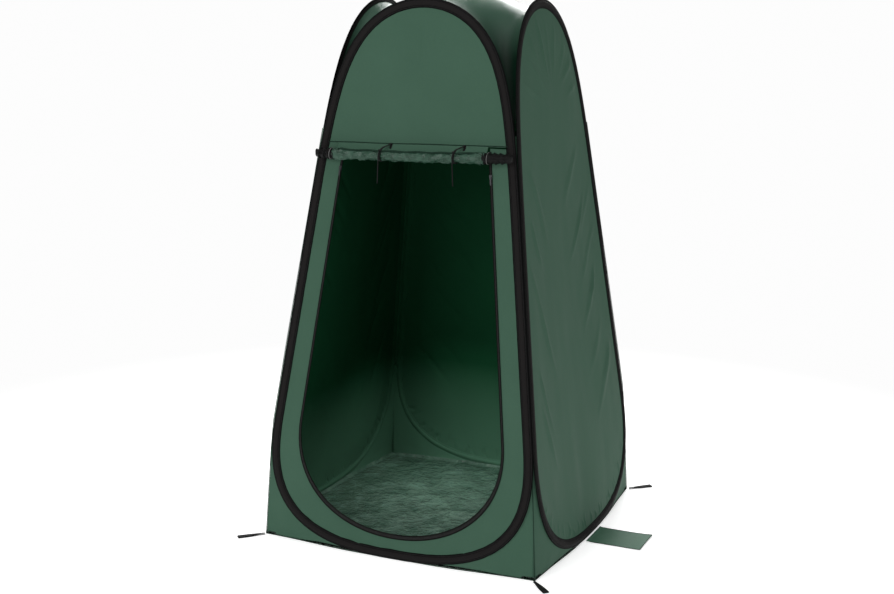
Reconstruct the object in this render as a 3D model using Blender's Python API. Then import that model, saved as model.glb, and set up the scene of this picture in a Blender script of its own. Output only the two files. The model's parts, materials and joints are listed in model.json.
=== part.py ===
"""Pop-up privacy shower tent: four sprung wire hoops sewn into four leaning walls round a square base.

Units are metres, +Z is up and the origin is the middle of the floor's underside. The doorway faces -Y.
Every wall is drawn flat in its own axes (u across, v up the slope, n outwards) and set in place by a
quarter turn, so front, right, rear and left share the same functions.
"""
import bmesh
import bpy
import math
from mathutils import Matrix, Vector

# ---- Driving dimensions -------------------------------------------------------------------------
BASE = 1.200                      # between the feet of opposite walls
CORNER_IN = 0.025                 # the floor's corners pull in this far from the feet of the walls
LEAN = math.radians(7.3)          # each wall leans in by this much
WALL_OUT = 0.008                  # wall mid-plane outside the pyramid whose edges are the corner seams
SEAM_CLEAR = 0.004                # the gussets' cloth stops this far short of a corner seam
SLEEVE_LAP = 0.006                # a hoop's sleeve laps this far over the seam behind it
HINGE_OUT = 0.011                 # front left and rear right seams open flat, so their hinges stand further out

CLOTH = 0.0008                    # fabric thickness
WIRE_R = 0.0025                   # spring wire, 5 mm
FERRULE_R = 0.0034
FERRULE_LENGTH = 0.036
SLEEVE_HALF = 0.0175              # binding sleeve, half its width
SLEEVE_DEPTH = 0.0056             # half its thickness
SLOT_HALF = 0.0010                # half the slot that takes the wall's edge
CHANNEL_HALF = 0.0043             # half the channel that takes the wire
EDGE_IN = 0.0053                  # a wall's edge stops this far inside the wire's centre line

HOOP_BOTTOM = 0.0195              # centre line of the wire above the ground line, up the slope
HOOP_TOP = 2.117
HOOP_WIDEST = 0.526               # height of the widest place
HOOP_HALF = BASE / 2 - HOOP_WIDEST * math.sin(LEAN) + SLEEVE_LAP - SLEEVE_HALF
HOOP_TAPER = math.sin(LEAN)       # its sides run along the corner seams
HOOP_LOW = (2.69, 2.69)           # powers of rise and width, below the widest place
HOOP_HIGH = (10.0, 2.0)           # and above it: long straight sides under a round arch
HOOP_POINTS = 48

SEAM_AT = 1.590                   # seam between the header and the door
DOOR_BOTTOM = 0.089
DOOR_WIDEST = 0.500
DOOR_HALF = 0.425
DOOR_TAPER = 0.115
DOOR_TOP = 2.3                    # where the doorway's outline would close, were it not cut at the seam
DOOR_LOW = (2.2, 2.2)
DOOR_HIGH = (9.0, 9.0)
DOOR_POINTS = 64
ZIP_HALF = 0.010                  # zip tape, half its width
ZIP_GAP = 0.0004                  # zip tape in front of the cloth
ZIP_THICK = 0.0018
ZIP_START = 0.014                 # the tape starts this far below the seam
ZIP_RUN = 0.75                    # straight part of the tape below a parked slider

ROLL_V, ROLL_N = 1.544, 0.034     # middle of the rolled door, up the wall and out from it
ROLL_RV, ROLL_RN = 0.0215, 0.0205
ROLL_LEFT, ROLL_RIGHT = -0.322, 0.290
ROLL_END_R = 0.0195
ROLL_TIP = 0.405                  # outer ends of the wound zip tape
TIE_PLACES = {"left": -0.126, "right": 0.176}
TIE_HALF = 0.0030
TIE_THICK = 0.0010
TIE_GAP = 0.0006                  # tape off the roll
KNOT_R = 0.0062
KNOT_AT = math.radians(50)        # where the knot sits round the roll, above its foremost line
TAIL_AT = math.radians(30)        # where the tail leaves the knot
TAIL_R = 0.0018
TAIL_ROUTE = ((0.0, 0.0, 0.0), (0.0, -0.0042, -0.0066), (0.0, -0.0066, -0.0140), (0.1, -0.0069, -0.032),
              (0.4, -0.0067, -0.060), (1.0, -0.0062, -0.118))
TAIL_DRIFT = 0.004                # sideways drift of a tail's end; the route's first number is a share of it

SLIDER_V = 1.485                  # where the zip sliders park, just under the rolled door
SLIDER_SIZE = (0.011, 0.016, 0.0036)
SLIDER_NOSE = 0.72                # width of a slider's lower end, as a share of its upper end
CHEEK_IN, CHEEK_OUT = 0.0022, 0.0036   # the two cheeks that a pull swings between, across the slider
CHEEK_HALF = 0.0016               # along it
CHEEK_RISE = 0.0024
PULL_LENGTH = 0.030
PULL_HALF = 0.0030
PULL_NECK = 0.0018
PULL_THICK = 0.0014
PULL_HEEL = 0.0008                # pull beyond its pin
PIN_RISE = 0.0014                 # pin above the slider's top

ROOF_FROM = 1.620                 # height up the slope where the arches part and the roof starts
ROOF_IN = 0.0095                  # roof edge inside the wall mid-plane
ROOF_CELLS = 16

ROOF_DOME = 0.17                  # share of the way from a slack skin to one blown up between the arches

FLOOR_HALF = BASE / 2 - CORNER_IN - 0.001
FLOOR_THICK = 0.0012
GUSSET_TOP = 0.330
GUSSET_BOTTOM = 0.0018
GUSSET_FOOT = BASE / 2 - 0.047    # outer end of a gusset's lower edge, clear of the stake loop
EDGE_GAP = 0.0005                 # gap between sleeve and gusset

LOOP_LENGTH = 0.112
LOOP_ROOT_HALF, LOOP_END_HALF = 0.0032, 0.0110
LOOP_THICK = 0.0013
LOOP_EYE = 0.0034
LOOP_OUT = 0.012

FLAP_ROOT_X, FLAP_END_X = 0.6185, 0.843
FLAP_Y = (-0.115, 0.067)
FLAP_THICK = 0.0024
REST_GAP = 0.0004                 # small parts lie this far above the ground plane

COLOURS = {
    "cloth": ((0.045, 0.115, 0.075, 1), 0.45, 0.0),
    "door_cloth": ((0.050, 0.125, 0.082, 1), 0.45, 0.0),
    "floor_cloth": ((0.030, 0.080, 0.050, 1), 0.35, 0.0),
    "binding": ((0.012, 0.012, 0.013, 1), 0.75, 0.0),
    "webbing": ((0.020, 0.020, 0.021, 1), 0.80, 0.0),
    "zip": ((0.015, 0.015, 0.016, 1), 0.55, 0.0),
    "steel": ((0.550, 0.560, 0.580, 1), 0.30, 1.0),
    "black_metal": ((0.030, 0.030, 0.032, 1), 0.35, 0.8),
}
SIDES = ("front", "right", "rear", "left")


# ---- Outlines -----------------------------------------------------------------------------------
def egg(half, widest, taper, bottom, top, low, high, count):
    """Closed tapering oval as count (u, v) points from the apex round the +u side, closer on tight bends."""
    fine = 2880
    longest, sharpest = 0.20, math.radians(9)     # step and turn that cost the same in spacing points
    raw = []
    for i in range(fine):
        a = 2 * math.pi * i / fine
        above = math.cos(a) >= 0
        rise_power, width_power = high if above else low
        reach = (top - widest) if above else (bottom - widest)
        rise = abs(math.cos(a)) ** (2 / rise_power) * reach
        width = (half - taper * rise) * abs(math.sin(a)) ** (2 / width_power)
        raw.append(Vector((math.copysign(width, math.sin(a)), widest + rise)))
    cost = [0.0]
    for i in range(fine):
        step = raw[(i + 1) % fine] - raw[i]
        back = raw[i] - raw[i - 1]
        cost.append(cost[-1] + step.length / longest + abs(step.angle_signed(back, 0.0)) / sharpest)
    points, at = [], 0
    for k in range(count):
        target = cost[-1] * k / count
        while cost[at + 1] < target:
            at += 1
        part = (target - cost[at]) / (cost[at + 1] - cost[at])
        points.append(raw[at].lerp(raw[(at + 1) % fine], part))
    return points


def offset(points, distance, closed=True):
    """Moves an outline outwards (to the left of its clockwise run) by distance."""
    moved = []
    last = len(points) - 1
    for i, p in enumerate(points):
        a = points[i - 1] if closed or i > 0 else p
        b = points[(i + 1) % len(points)] if closed or i < last else p
        along = (b - a).normalized()
        moved.append(p + distance * Vector((-along.y, along.x)))
    return moved


def run_below(points, height):
    """The run of a closed outline below height, from its +u crossing round the bottom to the -u one."""
    run = []
    for i, p in enumerate(points):
        q = points[(i + 1) % len(points)]
        if p.y < height:
            run.append(p)
        if (p.y - height) * (q.y - height) < 0:
            run.append(p.lerp(q, (height - p.y) / (q.y - p.y)))
    return run


def run_above(points, height):
    """The run of a closed outline above height, from its -u crossing over the top to the +u one."""
    half = len(points) // 2
    turned = points[half:] + points[:half]
    mirrored = [Vector((p.x, -p.y)) for p in turned]
    return [Vector((p.x, -p.y)) for p in run_below(mirrored, -height)]


HOOP = egg(HOOP_HALF, HOOP_WIDEST, HOOP_TAPER, HOOP_BOTTOM, HOOP_TOP, HOOP_LOW, HOOP_HIGH, HOOP_POINTS)
CLOTH_EDGE = offset(HOOP, -EDGE_IN)
DOOR = egg(DOOR_HALF, DOOR_WIDEST, DOOR_TAPER, DOOR_BOTTOM, DOOR_TOP, DOOR_LOW, DOOR_HIGH, DOOR_POINTS)


def seam_u(v):
    """Half width between the corner seams at height v up the slope."""
    return BASE / 2 - v * math.sin(LEAN) - SEAM_CLEAR


def wall_matrix(side):
    """Local wall axes (u, v, n) to world for side 0 front, 1 right, 2 rear, 3 left."""
    s, c = math.sin(LEAN), math.cos(LEAN)
    out = BASE / 2 + WALL_OUT / c
    front = Matrix(((1, 0, 0, 0), (0, s, -c, -out), (0, c, s, 0), (0, 0, 0, 1)))
    return Matrix.Rotation(side * math.pi / 2, 4, "Z") @ front


# ---- Scene helpers ------------------------------------------------------------------------------
def clear_scene():
    for thing in list(bpy.data.objects):
        bpy.data.objects.remove(thing, do_unlink=True)


def material(slot):
    if slot in bpy.data.materials:
        return bpy.data.materials[slot]
    colour, roughness, metallic = COLOURS[slot]
    made = bpy.data.materials.new(slot)
    made.use_nodes = True
    shader = made.node_tree.nodes["Principled BSDF"]
    shader.inputs["Base Color"].default_value = colour
    shader.inputs["Roughness"].default_value = roughness
    shader.inputs["Metallic"].default_value = metallic
    return made


def pivot(name, place, parent=None):
    """An empty on a joint's axis; whatever turns with the joint is parented to it."""
    empty = bpy.data.objects.new(name, None)
    bpy.context.collection.objects.link(empty)
    empty["world_place"] = list(place)
    empty.parent = parent
    base = Vector(parent["world_place"]) if parent else Vector((0, 0, 0))
    empty.location = Vector(place) - base
    return empty


def add(name, bm, matrix, parent, slot, smooth=True):
    """Turns a bmesh into a named object under a pivot, with its points kept relative to that pivot."""
    place = Vector(parent["world_place"])
    bm.transform(Matrix.Translation(-place) @ matrix)
    bmesh.ops.recalc_face_normals(bm, faces=bm.faces)
    if bm.calc_volume(signed=True) < 0:
        bmesh.ops.reverse_faces(bm, faces=bm.faces)
    mesh = bpy.data.meshes.new(name)
    bm.to_mesh(mesh)
    bm.free()
    if smooth:
        mesh.shade_smooth()
        mesh.set_sharp_from_angle(angle=math.radians(35))
    mesh.materials.append(material(slot))
    thing = bpy.data.objects.new(name, mesh)
    bpy.context.collection.objects.link(thing)
    thing.parent = parent
    return thing


def bridge_rings(bm, rings, closed):
    """Joins rings of vertices into a tube, capped at both ends unless it closes on itself."""
    count = len(rings)
    size = len(rings[0])
    for i in range(count if closed else count - 1):
        a, b = rings[i], rings[(i + 1) % count]
        for j in range(size):
            k = (j + 1) % size
            bm.faces.new((a[j], a[k], b[k], b[j]))
    if not closed:
        bm.faces.new(rings[0])
        bm.faces.new(list(reversed(rings[-1])))


def plate(outline, low, high):
    """A flat sheet with the given (u, v) outline between two heights."""
    bm = bmesh.new()
    bottom = [bm.verts.new((p.x, p.y, low)) for p in outline]
    face = bm.faces.new(bottom)
    raised = bmesh.ops.extrude_face_region(bm, geom=[face])
    top = [g for g in raised["geom"] if isinstance(g, bmesh.types.BMVert)]
    bmesh.ops.translate(bm, verts=top, vec=(0, 0, high - low))
    return bm


def sweep(path, section, closed):
    """Carries a section of (outwards, n) points along a flat (u, v) path."""
    bm = bmesh.new()
    rings = []
    last = len(path) - 1
    for i, p in enumerate(path):
        a = path[i - 1] if closed or i > 0 else p
        b = path[(i + 1) % len(path)] if closed or i < last else p
        along = (b - a).normalized()
        side = Vector((-along.y, along.x))
        rings.append([bm.verts.new((*(p + r * side), n)) for r, n in section])
    bridge_rings(bm, rings, closed)
    return bm


def circle(radius, sides, turn=0.0):
    angles = [2 * math.pi * (i + turn) / sides for i in range(sides)]
    return [(radius * math.cos(a), radius * math.sin(a)) for a in angles]


# ---- Hoops and walls ----------------------------------------------------------------------------
def hoop_wire(side, parent):
    """One length of spring wire bent into the hoop; its ends nearly meet at the bottom, in the ferrule."""
    half = HOOP_POINTS // 2
    turned = HOOP[half:] + HOOP[:half]
    gap, straight = 0.0005, 0.60 * FERRULE_LENGTH
    start = [Vector((-gap, HOOP_BOTTOM)), Vector((-straight, HOOP_BOTTOM))]
    finish = [Vector((straight, HOOP_BOTTOM)), Vector((gap, HOOP_BOTTOM))]
    path = start + turned[1:] + finish
    name = SIDES[side] + "_hoop_wire"
    add(name, sweep(path, circle(WIRE_R, 6, 0.5), False), wall_matrix(side), parent, "steel")


def hoop_ferrule(side, parent):
    """Crimp tube over the two wire ends."""
    bm = bmesh.new()
    rings = []
    half = FERRULE_LENGTH / 2
    bore = WIRE_R + 0.0003
    for u, radius in ((-half, FERRULE_R), (half, FERRULE_R), (half, bore), (-half, bore)):
        ring = [bm.verts.new((u, HOOP_BOTTOM + y, z)) for y, z in circle(radius, 12)]
        rings.append(ring)
    bridge_rings(bm, rings, True)
    add(SIDES[side] + "_hoop_ferrule", bm, wall_matrix(side), parent, "steel")


def hoop_sleeve(side, parent):
    """Binding folded round the wire: a channel for the wire, and a slot inwards for the wall's edge."""
    w, d, s, channel = SLEEVE_HALF, SLEEVE_DEPTH, SLOT_HALF, CHANNEL_HALF
    outside = [(-w, s), (-0.45 * w, d), (0.45 * w, d), (w, 0), (0.45 * w, -d), (-0.45 * w, -d), (-w, -s)]
    inside = [(-channel, -s), (-channel / 2, -channel), (channel / 2, -channel), (1.15 * channel, 0),
              (channel / 2, channel), (-channel / 2, channel), (-channel, s)]
    bm = sweep(HOOP, outside + inside, True)
    add(SIDES[side] + "_hoop_sleeve", bm, wall_matrix(side), parent, "binding")


def wall(side, parent):
    bm = plate(CLOTH_EDGE, -CLOTH / 2, CLOTH / 2)
    add(SIDES[side] + "_wall", bm, wall_matrix(side), parent, "cloth", smooth=False)


def gusset(side, hand, parent):
    """Triangle of cloth outside the hoop's lower curve, down to the ground corner."""
    rim = [p for p in offset(HOOP, SLEEVE_HALF + EDGE_GAP) if p.x > 0]
    rim = [p for p in rim if GUSSET_BOTTOM + 0.003 < p.y < GUSSET_TOP]
    rim.sort(key=lambda p: p.y)
    corner = [Vector((seam_u(GUSSET_TOP), GUSSET_TOP)), Vector((GUSSET_FOOT, GUSSET_BOTTOM))]
    outline = rim + corner + [Vector((rim[0].x - 0.004, GUSSET_BOTTOM))]
    outline = [Vector((hand * p.x, p.y)) for p in outline]
    name = f"{SIDES[side]}_gusset_{'right' if hand > 0 else 'left'}"
    add(name, plate(outline, -CLOTH / 2, CLOTH / 2), wall_matrix(side), parent, "cloth", smooth=False)


def front_cloth(parent):
    """The front wall is a header above the seam and a U-shaped surround round the doorway."""
    header = run_above(CLOTH_EDGE, SEAM_AT)
    add("front_header", plate(header, -CLOTH / 2, CLOTH / 2), wall_matrix(0), parent, "cloth", smooth=False)
    top = SEAM_AT - 0.0006
    surround = run_below(CLOTH_EDGE, top) + list(reversed(run_below(DOOR, top)))
    bm = plate(surround, -CLOTH / 2, CLOTH / 2)
    add("door_surround", bm, wall_matrix(0), parent, "cloth", smooth=False)


def zip_tape(parent):
    """Half of the door's zip, sewn over the surround's inner edge from seam to seam."""
    path = run_below(DOOR, SEAM_AT - ZIP_START)
    low = CLOTH / 2 + ZIP_GAP
    high = low + ZIP_THICK
    section = [(-ZIP_HALF, low), (-ZIP_HALF, high), (ZIP_HALF, high), (ZIP_HALF, low)]
    add("door_zip_tape", sweep(path, section, False), wall_matrix(0), parent, "zip", smooth=False)


# ---- Rolled door --------------------------------------------------------------------------------
def round_roll(angle, out):
    """(v, n) of a place at an angle above the roll's foremost line, and this far off the roll."""
    return ROLL_V + (ROLL_RV + out) * math.sin(angle), ROLL_N + (ROLL_RN + out) * math.cos(angle)


def roll_section(grow=0.0, sides=14):
    """Teardrop: the roll, and the cloth running from its top up to the seam, as (v, n) points."""
    points = [round_roll(math.radians(50 - 270 * i / (sides - 1)), grow) for i in range(sides)]
    top = SEAM_AT - 0.0010 + grow
    return points + [(top, 0.0013), (top, 0.0032 + grow)]


def door_roll(parent):
    bm = bmesh.new()
    rings = []
    stations = 7
    for i in range(stations):
        u = ROLL_LEFT + (ROLL_RIGHT - ROLL_LEFT) * i / (stations - 1)
        rings.append([bm.verts.new((u, v, n)) for v, n in roll_section()])
    bridge_rings(bm, rings, False)
    add("door_roll", bm, wall_matrix(0), parent, "door_cloth")


def roll_end(name, inner, outer, parent):
    """The door's own half of the zip, wound up at one end of the roll, in three stepped turns."""
    bm = bmesh.new()
    rings = []
    steps = ((0.0, 1.0), (0.34, 1.0), (0.40, 0.90), (0.66, 0.90), (0.74, 0.80), (0.95, 0.80), (1.0, 0.62))
    for part, size in steps:
        u = inner + (outer - inner) * part
        ring = [bm.verts.new((u, ROLL_V + v, ROLL_N + n)) for v, n in circle(ROLL_END_R * size, 14)]
        rings.append(ring)
    bridge_rings(bm, rings, False)
    add(name, bm, wall_matrix(0), parent, "zip")


def door_tie(hand, u, parent):
    """Flat tape round the roll and the cloth above it, sewn in behind them at the seam."""
    inner = roll_section(TIE_GAP)
    outer = roll_section(TIE_GAP + TIE_THICK)
    inner[-2] = (inner[-2][0], CLOTH)
    outer[-2] = (outer[-2][0], CLOTH / 2 + 0.0001)
    bm = bmesh.new()
    rings = []
    for (v0, n0), (v1, n1) in zip(inner, outer):
        corners = ((u - TIE_HALF, v0, n0), (u + TIE_HALF, v0, n0), (u + TIE_HALF, v1, n1), (u - TIE_HALF, v1, n1))
        rings.append([bm.verts.new(c) for c in corners])
    bridge_rings(bm, rings, True)
    add(f"door_tie_{hand}", bm, wall_matrix(0), parent, "webbing")


def tie_knot(hand, u, parent):
    """Small flattened knot on the upper front of the roll."""
    flat = 0.6
    bm = bmesh.new()
    bmesh.ops.create_icosphere(bm, subdivisions=1, radius=KNOT_R)
    bmesh.ops.scale(bm, vec=(1.0, 1.0, flat), verts=bm.verts)
    v, n = round_roll(KNOT_AT, TIE_GAP + TIE_THICK + flat * KNOT_R + 0.0005)
    place = Matrix.Translation((u, v, n)) @ Matrix.Rotation(-KNOT_AT, 4, "X")
    add(f"tie_knot_{hand}", bm, wall_matrix(0) @ place, parent, "webbing")


def tie_tail(hand, u, parent):
    """The tape's free end, a thin cord that runs over the roll's front and hangs straight down."""
    top = wall_matrix(0) @ Vector((u, *round_roll(TAIL_AT, 2 * TIE_GAP + TIE_THICK + TAIL_R)))
    drift = TAIL_DRIFT if hand == "right" else -TAIL_DRIFT
    route = [Vector((share * drift, y, z)) for share, y, z in TAIL_ROUTE]
    curve = bpy.data.curves.new(f"tie_tail_{hand}", "CURVE")
    curve.dimensions = "3D"
    curve.bevel_depth = TAIL_R
    curve.bevel_resolution = 2
    curve.use_fill_caps = True
    line = smooth_route(route, 15)
    spline = curve.splines.new("POLY")
    spline.points.add(len(line) - 1)
    place = Vector(parent["world_place"])
    for point, p in zip(spline.points, line):
        point.co = (*(top + p - place), 1)
    curve.materials.append(material("webbing"))
    thing = bpy.data.objects.new(f"tie_tail_{hand}", curve)
    bpy.context.collection.objects.link(thing)
    thing.parent = parent


def smooth_route(knots, count):
    """Points on a Catmull-Rom curve through the knots."""
    line = []
    spans = len(knots) - 1
    for i in range(count):
        t = spans * i / (count - 1)
        k = min(int(t), spans - 1)
        t -= k
        p0, p1, p2, p3 = (knots[max(0, min(spans, k + j))] for j in (-1, 0, 1, 2))
        line.append(0.5 * (2 * p1 + (p2 - p0) * t + (2 * p0 - 5 * p1 + 4 * p2 - p3) * t ** 2
                           + (3 * p1 - p0 - 3 * p2 + p3) * t ** 3))
    return line


# ---- Zip sliders --------------------------------------------------------------------------------
def zip_line():
    """Two points on the straight part of the zip, +u side: the park place and the low end of the run."""
    def at(v):
        return Vector((DOOR_HALF - DOOR_TAPER * (v - DOOR_WIDEST), v))
    return at(SLIDER_V), at(SLIDER_V - ZIP_RUN)


def zip_frame(hand):
    """Matrix from a slider's axes (x across, y up the zip, z outwards) to the world."""
    sign = 1 if hand == "right" else -1
    high, low = zip_line()
    high.x *= sign
    low.x *= sign
    run = (low - high).normalized()
    turn = Matrix(((-run.y, -run.x, 0, high.x), (run.x, -run.y, 0, high.y), (0, 0, 1, 0), (0, 0, 0, 1)))
    return wall_matrix(0) @ turn


def slider_body(base):
    """Tapered block with two cheeks raised on its top."""
    width, length, height = SLIDER_SIZE
    bm = bmesh.new()
    bmesh.ops.create_cube(bm, size=1.0)
    bmesh.ops.scale(bm, vec=SLIDER_SIZE, verts=bm.verts)
    cuts = [((x, 0, 0), (1, 0, 0)) for x in (-CHEEK_OUT, -CHEEK_IN, CHEEK_IN, CHEEK_OUT)]
    cuts += [((0, y, 0), (0, 1, 0)) for y in (-CHEEK_HALF, CHEEK_HALF)]
    for place, normal in cuts:
        everything = bm.verts[:] + bm.edges[:] + bm.faces[:]
        bmesh.ops.bisect_plane(bm, geom=everything, plane_co=place, plane_no=normal)
    for hand in (-1, 1):
        middle = Vector((hand * (CHEEK_IN + CHEEK_OUT) / 2, 0, height / 2))
        top = min(bm.faces, key=lambda f: (f.calc_center_median() - middle).length)
        raised = bmesh.ops.extrude_discrete_faces(bm, faces=[top])["faces"]
        bmesh.ops.translate(bm, verts=raised[0].verts, vec=(0, 0, CHEEK_RISE))
    nose = [v for v in bm.verts if v.co.y < -length / 4]
    bmesh.ops.scale(bm, vec=(SLIDER_NOSE, 1, 1), verts=nose)
    bmesh.ops.translate(bm, vec=(0, 0, base + height / 2), verts=bm.verts)
    return bm


def zip_slider(hand, root):
    """Slider on the tape, and a pull that swings between the slider's cheeks."""
    frame = zip_frame(hand)
    base = CLOTH / 2 + ZIP_GAP + ZIP_THICK + ZIP_GAP
    holder = pivot(f"zip_slider_{hand}_pivot", frame @ Vector((0, 0, base)), root)
    add(f"zip_slider_{hand}", slider_body(base), frame, holder, "black_metal", smooth=False)
    pin = base + SLIDER_SIZE[2] + PIN_RISE
    swing = pivot(f"zip_pull_{hand}_pivot", frame @ Vector((0, 0, pin)), holder)
    neck, half, end = PULL_NECK, PULL_HALF, -PULL_LENGTH
    right = [Vector((neck, PULL_HEEL)), Vector((neck, -0.004)), Vector((half, -0.008)),
             Vector((half, end + 0.004)), Vector((half / 2, end))]
    left = [Vector((-p.x, p.y)) for p in reversed(right)]
    bm = plate(right + left, pin - PULL_THICK / 2, pin + PULL_THICK / 2)
    add(f"zip_pull_{hand}", bm, frame, swing, "black_metal", smooth=False)


# ---- Roof and floor -----------------------------------------------------------------------------
def roof_edge():
    """World points along the front edge of the roof, from its left corner over the arch to its right."""
    matrix = wall_matrix(0)
    arch = run_above(HOOP, ROOF_FROM + 0.03)
    points = [matrix @ Vector((p.x, p.y, -ROOF_IN)) for p in arch]
    inset = BASE / 2 - ROOF_FROM * math.sin(LEAN) - 0.002
    height = ROOF_FROM * math.cos(LEAN)
    left, right = Vector((-inset, -inset, height)), Vector((inset, -inset, height))
    return even_points([left] + points + [right], ROOF_CELLS + 1)


def even_points(line, count):
    """Resamples a polyline at equal steps of length."""
    lengths = [0.0]
    for a, b in zip(line, line[1:]):
        lengths.append(lengths[-1] + (b - a).length)
    result, at = [], 0
    for k in range(count):
        target = lengths[-1] * k / (count - 1)
        while at < len(line) - 2 and lengths[at + 1] < target:
            at += 1
        part = (target - lengths[at]) / (lengths[at + 1] - lengths[at])
        result.append(line[at].lerp(line[at + 1], part))
    return result


def roof_grid():
    """A skin between the four arches, level at the top: a settled soap film, raised part way to a full vault."""
    edge = roof_edge()
    n = ROOF_CELLS
    grid = [[Vector((0, 0, 1.9)) for _ in range(n + 1)] for _ in range(n + 1)]
    quarter = [Matrix.Rotation(k * math.pi / 2, 3, "Z") for k in range(4)]
    for i in range(n + 1):
        grid[i][0] = quarter[0] @ edge[i]
        grid[n][i] = quarter[1] @ edge[i]
        grid[n - i][n] = quarter[2] @ edge[i]
        grid[0][n - i] = quarter[3] @ edge[i]
    for _ in range(400):
        for i in range(1, n):
            for j in range(1, n):
                grid[i][j] = (grid[i - 1][j] + grid[i + 1][j] + grid[i][j - 1] + grid[i][j + 1]) / 4
    foot = edge[0].z
    for i in range(1, n):
        for j in range(1, n):
            s, t = i / n, j / n
            across = (1 - s) * grid[0][j].z + s * grid[n][j].z
            along = (1 - t) * grid[i][0].z + t * grid[i][n].z
            grid[i][j].z += ROOF_DOME * (across + along - foot - grid[i][j].z)
    return grid


def roof(parent):
    grid = roof_grid()
    n = ROOF_CELLS
    bm = bmesh.new()
    upper = [[bm.verts.new(p) for p in row] for row in grid]
    for i in range(n):
        for j in range(n):
            bm.faces.new((upper[i][j], upper[i + 1][j], upper[i + 1][j + 1], upper[i][j + 1]))
    bm.normal_update()
    lower = [[bm.verts.new(v.co - CLOTH * v.normal) for v in row] for row in upper]
    for i in range(n):
        for j in range(n):
            bm.faces.new((lower[i][j + 1], lower[i + 1][j + 1], lower[i + 1][j], lower[i][j]))
    rim = [(i, 0) for i in range(n)] + [(n, j) for j in range(n)]
    rim += [(n - i, n) for i in range(n)] + [(0, n - j) for j in range(n)]
    for (i, j), (k, m) in zip(rim, rim[1:] + rim[:1]):
        bm.faces.new((lower[i][j], lower[k][m], upper[k][m], upper[i][j]))
    bmesh.ops.triangulate(bm, faces=[f for f in bm.faces if len(f.verts) == 4])
    add("roof", bm, Matrix(), parent, "cloth")


def floor(parent):
    h = FLOOR_HALF
    corners = [Vector((-h, -h)), Vector((h, -h)), Vector((h, h)), Vector((-h, h))]
    add("floor", plate(corners, 0.0, FLOOR_THICK), Matrix(), parent, "floor_cloth", smooth=False)


# ---- Ground pieces ------------------------------------------------------------------------------
def stake_loop(name, place, outward, parent):
    """Webbing folded back on itself, narrow at its seam and spread at its outer end; it turns at the seam."""
    holder = pivot(name + "_pivot", place, parent)
    thick, eye = LOOP_THICK, LOOP_EYE
    bulge = 8
    profile = [(0.0, 0.0), (0.030, 0.0), (LOOP_LENGTH - (eye + 2 * thick) / 2, 0.0)]
    radius = eye / 2 + thick
    for i in range(1, bulge):
        a = math.pi * i / bulge - math.pi / 2
        profile.append((LOOP_LENGTH - radius + radius * math.cos(a), radius + radius * math.sin(a)))
    profile += [(LOOP_LENGTH - radius, 2 * radius), (0.030, 2 * radius - 0.0006), (0.0, 2 * thick + 0.0008)]
    hole = [(0.012, thick), (LOOP_LENGTH - radius, thick)]
    for i in range(1, bulge):
        a = math.pi * i / bulge - math.pi / 2
        hole.append((LOOP_LENGTH - radius + (eye / 2) * math.cos(a), radius + (eye / 2) * math.sin(a)))
    hole += [(LOOP_LENGTH - radius, thick + eye), (0.030, thick + eye - 0.0006), (0.012, thick + 0.0008)]
    bm = bmesh.new()
    sides = []
    for hand in (-1, 1):
        rings = []
        for run in (profile, hole):
            ring = []
            for r, z in run:
                share = min(1.0, r / 0.075)
                half = LOOP_ROOT_HALF + (LOOP_END_HALF - LOOP_ROOT_HALF) * share
                ring.append(bm.verts.new((r, hand * half, z)))
            rings.append(ring)
        sides.append(rings)
    for run in (0, 1):
        a, b = sides[0][run], sides[1][run]
        for j in range(len(a)):
            k = (j + 1) % len(a)
            bm.faces.new((a[j], a[k], b[k], b[j]))
    for rings in sides:
        edges = []
        for ring in rings:
            for j in range(len(ring)):
                edges.append(bm.edges.get((ring[j], ring[(j + 1) % len(ring)])))
        bmesh.ops.triangle_fill(bm, edges=edges, use_beauty=True)
    angle = math.atan2(outward.y, outward.x)
    matrix = Matrix.Translation((place[0], place[1], REST_GAP)) @ Matrix.Rotation(angle, 4, "Z")
    add(name, bm, matrix, holder, "webbing")


def ground_flap(parent):
    """Sheet that lies on the ground outside the right wall, sewn on under the hoop."""
    place = (FLAP_ROOT_X, (FLAP_Y[0] + FLAP_Y[1]) / 2, REST_GAP + FLAP_THICK / 2)
    holder = pivot("ground_flap_pivot", place, parent)
    x0, x1 = FLAP_ROOT_X, FLAP_END_X
    y0, y1 = FLAP_Y
    c = 0.004
    outline = [(x0, y0), (x1 - c, y0), (x1, y0 + c), (x1, y1 - c), (x1 - c, y1), (x0, y1)]
    bm = plate([Vector(p) for p in outline], REST_GAP, REST_GAP + FLAP_THICK)
    add("ground_flap", bm, Matrix(), holder, "cloth", smooth=False)


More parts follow.
